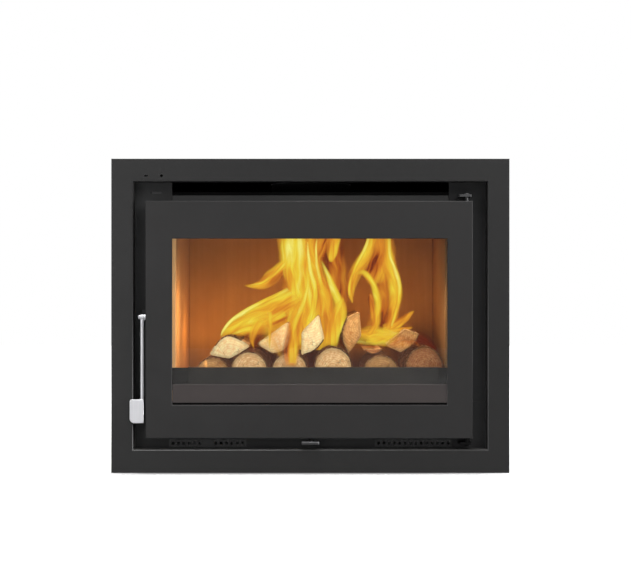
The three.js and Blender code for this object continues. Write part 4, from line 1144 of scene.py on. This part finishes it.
lever = {"rod": 3.15 * mm, "rodEdge": 0.6 * mm, "rodX": -296.1 * mm, "rodY": -212 * mm, "pivot": 277.2 * mm,
         "low": 91.2 * mm, "eye": 4.8 * mm, "eyeEdge": 0.5 * mm,
         "paddleRight": -292.95 * mm, "paddleWidth": 24.2 * mm, "paddleHigh": 132.9 * mm,
         "paddleSheet": 3.4 * mm, "paddleEdge": 0.7 * mm,
         # from the lower left corner round to the upper left one
         "corners": (8 * mm, 0.8 * mm, 0.8 * mm, 4 * mm)}


def roundedPlate(corners, radii, thickness):
    # a flat plate from its corners, each rounded, then given its thickness towards the rear
    bm = bmesh.new()
    verts = [bm.verts.new(corner) for corner in corners]
    bm.faces.new(verts)
    for vert, radius in zip(verts, radii):
        bmesh.ops.bevel(bm, geom=[vert], offset=radius, offset_type="OFFSET", segments=8, profile=0.5,
                        affect="VERTICES", material=-1)
    bm.faces.ensure_lookup_table()
    grown = bmesh.ops.extrude_face_region(bm, geom=[bm.faces[-1]])
    moved = [v for v in grown["geom"] if isinstance(v, bmesh.types.BMVert)]
    bmesh.ops.translate(bm, vec=back * thickness, verts=moved)
    outwards(bm)
    return bm


def makePaddle():
    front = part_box("handle_lever")[0].y
    rightEdge, low, high = lever["paddleRight"], lever["low"], lever["paddleHigh"]
    leftEdge = rightEdge - lever["paddleWidth"]
    corners = [(x, front, z) for x, z in
               ((leftEdge, low), (rightEdge, low), (rightEdge, high), (leftEdge, high))]
    bm = roundedPlate(corners, lever["corners"], lever["paddleSheet"])
    roundEdges(bm, sharpEdges(bm, 50), lever["paddleEdge"], 3)
    paddle = bpy.data.meshes.new("paddle")
    bm.to_mesh(paddle)
    bm.free()
    return paddle


def makeLever():
    # the rod, the eye round its pivot and the paddle at its foot
    rod, edge, length = lever["rod"], lever["rodEdge"], lever["pivot"] - lever["low"]
    bm = bmesh.new()
    profile = [(onAxis, 0), (rod - edge, 0), (rod, edge), (rod, length), (onAxis, length)]
    turnProfile(bm, profile, Vector((lever["rodX"], lever["rodY"], lever["low"])), up, 32)
    eye, edge = lever["eye"], lever["eyeEdge"]
    profile = [(onAxis, 0), (eye - edge, 0), (eye, edge), (eye, 2 * rod - edge), (eye - edge, 2 * rod),
               (onAxis, 2 * rod)]
    turnProfile(bm, profile, Vector((lever["rodX"] - rod, lever["rodY"], lever["pivot"])), right, 40)
    outwards(bm)
    paddle = makePaddle()
    bm.from_mesh(paddle)
    bpy.data.meshes.remove(paddle)
    dressNode("handle_lever", bm, satinSteel, angle=40)


bush = {"inner": 4.45 * mm, "outer": 4.9 * mm, "edge": 0.3 * mm, "innerEdge": 0.2 * mm,
        "gap": 0.3 * mm, "fromGlass": 36.6 * mm}


def makeBush():
    # the bright bush between the lever and the door's edge
    inner, outer, edge = bush["inner"], bush["outer"], bush["edge"]
    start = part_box("handle_lever")[1].x + bush["gap"]
    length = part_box("door_glass")[0].x - bush["fromGlass"] - start
    profile = [(inner, bush["innerEdge"]), (outer - edge, 0), (outer, edge), (outer, length - edge),
               (outer - edge, length), (inner, length), (inner, bush["innerEdge"])]
    bm = bmesh.new()
    turnProfile(bm, profile, Vector((start, lever["rodY"], lever["pivot"])), right, 40)
    outwards(bm)
    finishPiece("handleBush", bm, "door", "stainless", satinSteel, angle=40, evenNormals=False)


makeLever()
makeBush()
print("door made")


# screws of the casing
screw = {"profile": ((4.25 * mm, 0), (4.25 * mm, 0.4 * mm), (3.4 * mm, 0.5 * mm), (2.924 * mm, 1.3 * mm),
                     (1.7 * mm, 1.9 * mm), (onAxis, 2.2 * mm)),
         "rises": [60 * mm + i * 92 * mm for i in range(6)],
         "spans": [-285 * mm + i * 95 * mm for i in range(7)],
         "depths": [-160 * mm + i * 66 * mm for i in range(5)],
         "edgeX": 305 * mm, "backRows": (38 * mm, 514 * mm), "topRow": 168 * mm,
         "sideX": 318 * mm, "sideEdges": (-165 * mm, 165 * mm), "sideRows": (40 * mm, 512 * mm),
         "sideSpans": (-90 * mm, 0, 90 * mm)}


def screwHeads(name, spots, axis):
    bm = bmesh.new()
    for spot in spots:
        turnProfile(bm, screw["profile"], Vector(spot), axis, 20)
    outwards(bm)
    finishPiece(name, bm, "root", "casing_sheet", turnedSteel, angle=35, evenNormals=False)


def fixScrews():
    edges = (-screw["edgeX"], screw["edgeX"])
    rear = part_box("casing_back")[1].y
    screwHeads("casingScrewsBack", [(x, rear, z) for x in edges for z in screw["rises"]]
               + [(x, rear, z) for z in screw["backRows"] for x in screw["spans"]], back)
    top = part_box("casing_top")[1].z
    screwHeads("casingScrewsTop", [(x, y, top) for x in edges for y in screw["depths"]]
               + [(x, screw["topRow"], top) for x in screw["spans"][1:-1]], up)
    for name, side in (("casingScrewsLeft", -1), ("casingScrewsRight", 1)):
        x = side * screw["sideX"]
        screwHeads(name, [(x, y, z) for y in screw["sideEdges"] for z in screw["rises"]]
                   + [(x, y, z) for z in screw["sideRows"] for y in screw["sideSpans"]], side * right)


fixScrews()
print("screws made")


# firewood
logs = {"rings": 30, "around": 60, "barkThick": 1.5 * mm, "woodRim": 0.5 * mm, "chamfer": 0.8 * mm,
        "edgeInset": 0.56 * mm, "barkSide": 16 * mm, "pithWander": 7 * mm, "pithBehind": 1.15}
# dips in its sides: how deep, how close together across the log and along its bark and its wood
dips = {"slow": 0.55 * mm, "fine": 0.33 * mm, "onWood": 0.7, "across": 30, "alongBark": 9, "alongWood": 3,
        "slowScale": 1.4, "fineScale": 6}
endOf = {
    "log_round_1": "tan", "log_round_2": "cream", "log_round_3": "cream", "log_round_4": "cream",
    "log_round_5": "tan", "log_round_6": "red", "log_split_1": "pale", "log_split_2": "pale",
    "log_split_3": "pale", "log_split_4": "tan", "log_split_5": "red", "log_split_6": "tan",
}


def sectionOf(node):
    # the outline of the log's front end, its shift to the rear end, and the depths of both ends
    bm = copyOf(node)
    low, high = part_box(node)

    def endFace(depth):
        return max((f for f in bm.faces if abs(f.calc_center_median().y - depth) < edgeLook["onFace"]),
                   key=lambda f: f.calc_area())

    outline = [Vector((v.co.x, v.co.z)) for v in endFace(low.y).verts]
    shift = endFace(high.y).calc_center_median() - endFace(low.y).calc_center_median()
    bm.free()
    if sum(a.cross(b) for a, b in zip(outline, outline[1:] + outline[:1])) < 0:
        outline.reverse()
    return outline, Vector((shift.x, shift.z)), low.y, high.y


def resample(outline, count):
    # evenly spaced points round an outline with rounded corners; each is told whether it lies on bark
    sides = [(a, b, (b - a).length) for a, b in zip(outline, outline[1:] + outline[:1])]
    total = sum(length for a, b, length in sides)
    points, marks = [], []
    for i in range(count):
        reach = i / count * total
        for a, b, length in sides:
            if reach <= length:
                points.append(a.lerp(b, reach / length))
                marks.append(length < logs["barkSide"])
                break
            reach -= length
    for _ in range(2):
        points = [(points[i - 1] + points[i] * 2 + points[(i + 1) % count]) / 4 for i in range(count)]
    return points, marks


def logShape(node, seed, outline):
    # the log's section: its points, which of them lie on bark, its middle and its pith
    count = logs["around"]
    if node.startswith("log_round"):
        low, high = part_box(node)
        middle = Vector(((low.x + high.x) / 2, (low.z + high.z) / 2))
        half = Vector(((high.x - low.x) / 2, (high.z - low.z) / 2))
        turns = [i / count * math.tau for i in range(count)]
        points = [middle + Vector((math.cos(turn) * half.x, math.sin(turn) * half.y)) for turn in turns]
        wander = Vector((noise.noise((seed, 0, 0)), noise.noise((0, seed, 0)))) * logs["pithWander"]
        return points, [True] * count, middle, middle + wander
    points, marks = resample(outline, count)
    middle = sum(points, Vector((0, 0))) / count
    onBark = [p for p, bark in zip(points, marks) if bark] or points
    barkMiddle = sum(onBark, Vector((0, 0))) / len(onBark)
    return points, marks, middle, middle - (barkMiddle - middle) * logs["pithBehind"]


def capLog(bm, ring, centre, depth, marks, rims, turned):
    # a narrow rim of bark or wood inside the ring, then the end grain round its hub
    count = len(ring)
    inner = []
    for vert, bark in zip(ring, marks):
        flat = Vector((vert.co.x, vert.co.z))
        place = flat + (centre - flat).normalized() * (logs["barkThick"] if bark else logs["woodRim"])
        inner.append(bm.verts.new((place.x, depth, place.y)))
        inner[-1][rims] = 1.0
    hub = bm.verts.new((centre.x, depth, centre.y))
    for i in range(count):
        j = (i + 1) % count
        for corners, finish in (((ring[i], inner[i], inner[j], ring[j]), 2 if marks[i] and marks[j] else 0),
                                ((inner[i], hub, inner[j]), 0)):
            face = bm.faces.new(corners[::-1] if turned else corners)
            face.material_index = finish


def makeLog(node, seed):
    outline, shift, front, rear = sectionOf(node)
    points, marks, middle, pith = logShape(node, seed, outline)
    chamfer, edge, count, span = logs["chamfer"], logs["edgeInset"], logs["around"], rear - front
    bm = bmesh.new()
    uvLayer = bm.loops.layers.uv.new("UVMap")
    rims = bm.verts.layers.float.new("rim")

    def ringAt(depth, share, inset):
        # the section at this depth, roughened inwards, more on bark than on riven wood
        ring = []
        for p, bark in zip(points, marks):
            here = p + shift * share
            along = dips["alongBark"] if bark else dips["alongWood"]
            place = Vector((here.x * dips["across"], depth * along, here.y * dips["across"] + seed * 7))
            dip = dips["slow"] * (1 + noise.noise(place * dips["slowScale"]))
            dip += dips["fine"] * (1 + noise.noise(place * dips["fineScale"]))
            reach = dip * (1 if bark else dips["onWood"]) + inset
            inwards = (middle + shift * share - here).normalized() * reach
            ring.append(bm.verts.new((here.x + inwards.x, depth, here.y + inwards.y)))
        return ring

    depths = [front + chamfer] + [front + span * k / logs["rings"] for k in range(1, logs["rings"])]
    rings = [ringAt(depth, (depth - front) / span, 0) for depth in depths + [rear - chamfer]]
    rings = [ringAt(front, 0, edge)] + rings + [ringAt(rear, 1, edge)]
    for a, b in zip(rings, rings[1:]):
        for i in range(count):
            j = (i + 1) % count
            face = bm.faces.new((a[i], a[j], b[j], b[i]))
            face.material_index = 2 if marks[i] and marks[j] else 1
    capLog(bm, rings[0], middle, front, marks, rims, False)
    capLog(bm, rings[-1], middle + shift, rear, marks, rims, True)
    for face in bm.faces:
        for loop in face.loops:
            co = loop.vert.co
            fromPith = Vector((co.x, co.z)) - pith - shift * (co.y - front) / span
            loop[uvLayer].uv = fromPith
    outwards(bm)
    dressNode(node, bm, [endGrains[endOf[node]], rivenWood, barkCover], angle=35, evenNormals=False)


for number in range(1, 7):
    makeLog(f"log_round_{number}", number * 1.7)
    makeLog(f"log_split_{number}", 20 + number * 1.3)
print("firewood made")


# ember bed
bed = {"front": 1.5 * mm, "rear": 12 * mm, "side": 4 * mm, "rise": 0.6 * mm, "slope": 14 * mm,
       "fine": (90, 7 * mm), "slow": (20, 8 * mm), "cells": (110, 60)}


def makeEmbers():
    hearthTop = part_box("hearth_brick")[1].z
    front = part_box("log_guard")[1].y + bed["front"]
    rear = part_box("lining_back")[0].y - bed["rear"]
    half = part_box("lining_right")[0].x - bed["side"]
    bm = bmesh.new()
    bmesh.ops.create_grid(bm, x_segments=bed["cells"][0], y_segments=bed["cells"][1], size=0.5)
    for vert in bm.verts:
        x, y = vert.co.x * 2 * half, front + (vert.co.y + 0.5) * (rear - front)
        edge = max(0, min(1, min(half - abs(x), y - front, rear - y) / bed["slope"]))
        scale, height = bed["fine"]
        lumps = abs(noise.noise((x * scale, y * scale, 3))) * height
        scale, height = bed["slow"]
        lumps += (0.5 + 0.5 * noise.noise((x * scale, y * scale, 5))) * height
        vert.co = (x, y, hearthTop + bed["rise"] + edge * lumps)
    outwards(bm)
    finishPiece("emberBed", bm, "root", "firewood", embers, angle=180, evenNormals=False)


makeEmbers()

# tongues of flame: depth, thickness in mm, warmth, veil and softness, then the column and row in the photo
# and the width in pixels, from the root to the tip
deepInside, midFire, nearFire, byTheLogs = -0.04, -0.075, -0.1, -0.1635
flameTop = 233.5      # the row where tongues pass out of sight behind the door's frame
tongues = {
    "plumeBack": (deepInside, 16, 0.42, 0.9, 2.2, (
        (314, 350, 54), (314, 325, 60), (311, 300, 60), (306, 280, 50), (303, 262, 46), (306, 248, 60),
        (307, 238, 64), (307, flameTop, 60))),
    "plumeCore": (midFire, 10, 0.88, 1.0, 1.9, (
        (294, 301, 4), (294, 290, 12), (293.5, 276, 20), (292.5, 262, 25), (291.5, 249, 30), (291.5, 239, 33),
        (291.5, flameTop, 32))),
    "plumeBody": (midFire + 0.015, 12, 0.66, 0.95, 2.0, (
        (303, 345, 22), (302, 325, 34), (302, 305, 42), (301, 288, 40), (298, 270, 36), (296, 252, 36),
        (296, flameTop, 38))),
    "plumeRight": (midFire + 0.01, 9, 0.52, 0.85, 1.8, (
        (318, 318, 10), (320, 300, 16), (318, 282, 18), (315, 265, 16), (312, 250, 14), (311, flameTop, 12))),
    "plumeHaze": (deepInside + 0.02, 12, 0.2, 0.6, 1.6, (
        (336, 330, 18), (337, 305, 24), (336, 280, 28), (334, 260, 28), (334, 246, 24), (334, flameTop, 22))),
    "leftTongue": (midFire, 7, 0.6, 0.92, 1.8, (
        (292, 262, 12), (282, 268, 15), (273, 276.5, 17), (263, 284, 13), (253, 286, 6.5),
        (243.7, 285.4, 1.5))),
    "leftTongueEdge": (midFire - 0.006, 3, 0.92, 0.9, 2.4, (
        (286, 262, 3), (279, 270, 4), (271, 277, 4), (261, 283, 3), (250, 285.2, 1.2))),
    "diagonalTongue": (midFire, 9, 0.68, 0.97, 2.0, (
        (298, 296, 20), (284, 303, 26), (268, 311, 25), (252, 318, 23), (238, 325, 19), (228, 331, 12),
        (221, 337, 2))),
    "diagonalEdge": (midFire - 0.008, 3, 0.95, 0.95, 2.2, (
        (288, 289, 4), (274, 296.5, 5), (258, 304, 5), (243, 312.5, 5), (231, 321, 4.5), (223, 331, 3),
        (220.7, 337, 1))),
    "diagonalLow": (midFire - 0.006, 4, 0.82, 0.9, 2.2, (
        (285, 313, 8), (270, 321, 9), (256, 327, 9), (243, 330, 6), (231, 334.5, 1.5))),
    "leftLobe": (byTheLogs, 2.5, 0.7, 0.7, 1.6, (
        (262, 320, 13), (255, 330, 11), (252.5, 340, 7), (254, 349, 1.5))),
    "diagonalBody": (midFire + 0.014, 8, 0.46, 0.9, 1.6, (
        (290, 306, 36), (276, 314, 38), (262, 320, 32), (250, 326, 24), (240, 332, 12), (234, 337, 2))),
    "leftEmber": (byTheLogs, 2.5, 0.06, 0.4, 0.9, (
        (250, 352, 10), (255, 345, 9), (259, 338, 5), (261, 333, 1))),
    "veilLeft": (byTheLogs - 0.0005, 2, 0.6, 0.3, 1, (
        (268, 318, 14), (272, 330, 22), (275, 342, 22), (279, 352, 12), (282, 360, 2))),
    "streakLeft": (byTheLogs, 2, 0.85, 0.6, 1.6, ((270, 312, 6), (270, 332, 4.5), (269.5, 349, 1))),
    "streakMiddle": (nearFire, 4, 0.93, 0.95, 2.2, (
        (310, 322, 2.5), (313.5, 306, 6), (314.5, 288, 7), (311, 272, 5), (308.5, 257, 4), (307.4, 241, 2))),
    "streakFar": (midFire, 4, 0.9, 0.8, 2.0, (
        (322, 316, 2), (324, 300, 4), (321, 284, 5), (317, 266, 4), (316, 250, 3), (317, 238, 2))),
    "streakLow": (byTheLogs, 2.5, 0.8, 0.78, 2.0, (
        (292, 363, 9), (292.7, 345, 10), (294.5, 325, 8), (301, 310, 6), (307, 290, 4.5), (310, 268, 1.5))),
    "streakLowGlow": (byTheLogs + 0.003, 2, 0.45, 0.8, 1.8, (
        (291, 366, 14), (291, 348, 18), (293, 330, 16), (298, 312, 12), (304, 296, 3))),
    "secondLobe": (midFire, 7, 0.74, 0.95, 2.2, (
        (331, 262, 4), (331.5, 255, 11), (332.5, 247, 14), (333.5, 240, 15), (334, flameTop, 14))),
    "rightEdge": (nearFire, 5, 0.86, 0.95, 2.2, (
        (334, 338, 8), (339, 324, 12), (340.5, 308, 13), (335.5, 293, 10), (328.5, 277, 7), (321, 260, 2))),
    "rightFill": (midFire, 6, 0.6, 0.9, 1.8, (
        (328, 344, 12), (329, 326, 18), (328, 308, 18), (324, 292, 12), (319, 276, 3))),
    "gapFire": (byTheLogs, 2.5, 0.8, 0.8, 1.8, (
        (333, 346, 10), (334, 334, 13), (335, 320, 12), (339, 306, 8), (344, 298, 1.5))),
    "archLeft": (midFire, 5, 0.66, 0.9, 1.6, (
        (352.5, 303, 2), (350.5, 292, 9), (353, 279, 13), (359.5, 265, 15), (367, 253, 14), (371, 242, 13),
        (371.5, flameTop, 13))),
    "archLeftEdge": (midFire - 0.006, 3, 0.9, 0.8, 2, (
        (349.5, 296, 2), (349.5, 286, 3.5), (353, 273, 4), (359, 260, 4), (365, 249, 4), (368, 240, 4),
        (368.5, flameTop, 4))),
    "archInner": (midFire - 0.004, 5, 0.74, 0.9, 1.6, (
        (358, 337, 7), (368, 335, 10), (375, 326, 10), (378, 308, 9), (376, 292, 9), (371, 280, 8),
        (363, 272.5, 7), (354, 275, 2))),
    "archRight": (midFire, 6, 0.62, 0.9, 1.6, (
        (385, 341, 9), (390, 324, 11), (394, 308, 13), (395, 292, 17), (392.5, 276, 18), (388.5, 262, 15),
        (387, 249, 11), (387, flameTop, 9))),
    "archRightEdge": (midFire - 0.006, 3, 0.92, 0.85, 2, (
        (391.5, 326, 3), (396.5, 310, 4.5), (399.5, 293, 5), (398, 279, 5), (393.5, 266, 4.5),
        (389.5, 254, 4), (389, flameTop, 3.5))),
    "archTop": (midFire + 0.012, 9, 0.38, 0.75, 1.4, (
        (369, 284, 8), (374, 274, 34), (378, 262, 38), (380, 250, 34), (380, 240, 30), (380, flameTop, 28))),
    "archHaze": (deepInside, 14, 0.22, 0.6, 1.5, (
        (378, 345, 34), (383, 322, 34), (386, 300, 30), (384, 282, 30), (381, 262, 34), (380, 245, 30),
        (380, flameTop, 28))),
    "archFlag": (midFire, 3, 0.5, 0.85, 2, ((373, 322, 3), (372, 308, 7), (371, 299, 7), (370.5, 292, 1.5))),
    "rightTongue": (midFire, 5, 0.66, 0.92, 2.2, (
        (384, 330, 14), (394, 326, 13), (403, 320, 9), (409, 315, 6), (414.5, 310.5, 1.5))),
    "rightTongueLow": (midFire - 0.004, 4, 0.7, 0.85, 2, (
        (386, 334, 10), (397, 331, 9), (406, 329, 6), (413, 327, 1.5))),
    "baseFire": (midFire, 8, 0.84, 0.95, 1.8, (
        (344, 338, 6), (354, 336, 16), (368, 336, 20), (384, 335, 18), (397, 335, 12), (407, 336, 2))),
    "baseEmber": (-0.12, 4, 0.05, 0.6, 0.9, (
        (352, 344, 6), (360, 340, 12), (370, 344, 10), (378, 350, 2))),
    "baseGreen": (byTheLogs, 2.5, 0.82, 0.5, 1, (
        (366, 342, 4), (376, 340, 14), (386, 337, 18), (395, 334, 12), (401, 332, 2))),
    "rightVeil": (byTheLogs, 2, 0.3, 0.35, 1, (
        (388, 346, 6), (396, 341, 16), (406, 339, 20), (415, 342, 12), (421, 348, 2))),
    "rightEmber": (-0.1, 5, -0.02, 0.6, 0.9, (
        (408, 336, 6), (417, 337, 14), (426, 342, 14), (434, 349, 8), (438, 356, 2))),
}


def smoothPath(points, steps=5):
    # a smooth curve through the given points
    path = []
    last = len(points) - 1
    for i in range(last):
        a, b, c, d = (Vector(points[max(0, min(last, k))]) for k in (i - 1, i, i + 1, i + 2))
        for t in (step / steps for step in range(steps)):
            path.append(0.5 * ((2 * b) + (c - a) * t + (2 * a - 5 * b + 4 * c - d) * t * t
                               + (3 * b - a - 3 * c + d) * t ** 3))
    return path + [Vector(points[-1])]


tongueShape = {"around": 20, "thinnest": 0.6,
               "rootDeep": 0.35, "fullDeep": 0.65, "deepBy": 1.6,
               "rootVeil": 0.3, "veilGain": 5, "tipFade": 4,
               "wave": 0.16, "waveAlong": 40, "waveDeep": 50, "waveSide": 0.7,
               "lift": 0.12, "coolSide": 0.2, "coolTip": 0.08, "veilScale": 0.85, "veilLeast": 0.03}


def tongueSection(share, row, width, thickness, veil):
    # half the width, half the depth and the veil at this share of the tongue's length
    look = tongueShape
    half = max(width, look["thinnest"]) * view["metresPerPixel"] / 2
    swelling = math.sin(min(1, share * look["deepBy"]) * math.pi / 2)
    deep = min(half, thickness * mm) * (look["rootDeep"] + look["fullDeep"] * swelling)
    fade = min(1, share * look["veilGain"] + look["rootVeil"])
    if row > flameTop + 1:
        # a tip that is seen thins out
        fade *= min(1, (1 - share) * look["tipFade"])
    return half, deep, veil * fade


def makeTongue(name, depth, thickness, heat, veil, softness, shape):
    look = tongueShape
    path = smoothPath(shape)
    places = [fromPhoto(p.x, p.y, depth) for p in path]
    around, last = look["around"], len(path) - 1
    bm = bmesh.new()
    uvLayer = bm.loops.layers.uv.new("UVMap")
    warmths = bm.verts.layers.float.new("warmth")
    veils = bm.verts.layers.float.new("veil")
    rings, flat = [], {}
    travelled = 0.0
    for k, (p, place) in enumerate(zip(path, places)):
        along = (places[min(last, k + 1)] - places[max(0, k - 1)]).normalized()
        across = Vector((-along.z, 0, along.x))
        travelled += (place - places[max(0, k - 1)]).length
        half, deep, covering = tongueSection(k / last, p.y, p.z, thickness, veil)
        ring = []
        for turn in (i / around * math.tau for i in range(around)):
            side, level = math.cos(turn), math.sin(turn)
            ripple = (travelled * look["waveAlong"], depth * look["waveDeep"], side * look["waveSide"])
            wave = noise.noise(ripple) * look["wave"] * half
            vert = bm.verts.new(place + across * (side * half + wave) + back * (level * deep))
            vert[warmths] = heat + look["lift"] - look["coolSide"] * side * side - look["coolTip"] * k / last
            within = (1 - abs(side)) * softness * look["veilScale"] + look["veilLeast"]
            vert[veils] = covering * min(1, within)
            flat[vert] = (side * half, travelled)
            ring.append(vert)
        rings.append(ring)
    for a, b in zip(rings, rings[1:]):
        for i in range(around):
            j = (i + 1) % around
            bm.faces.new((a[i], a[j], b[j], b[i]))
    bm.faces.new(rings[0])
    bm.faces.new(rings[-1][::-1])
    for face in bm.faces:
        for loop in face.loops:
            loop[uvLayer].uv = flat[loop.vert]
    outwards(bm)
    finishPiece("flame" + name[0].upper() + name[1:], bm, "root", "firewood", flame,
                angle=180, evenNormals=False)


for name, settings in tongues.items():
    makeTongue(name, *settings)
print("fire made")
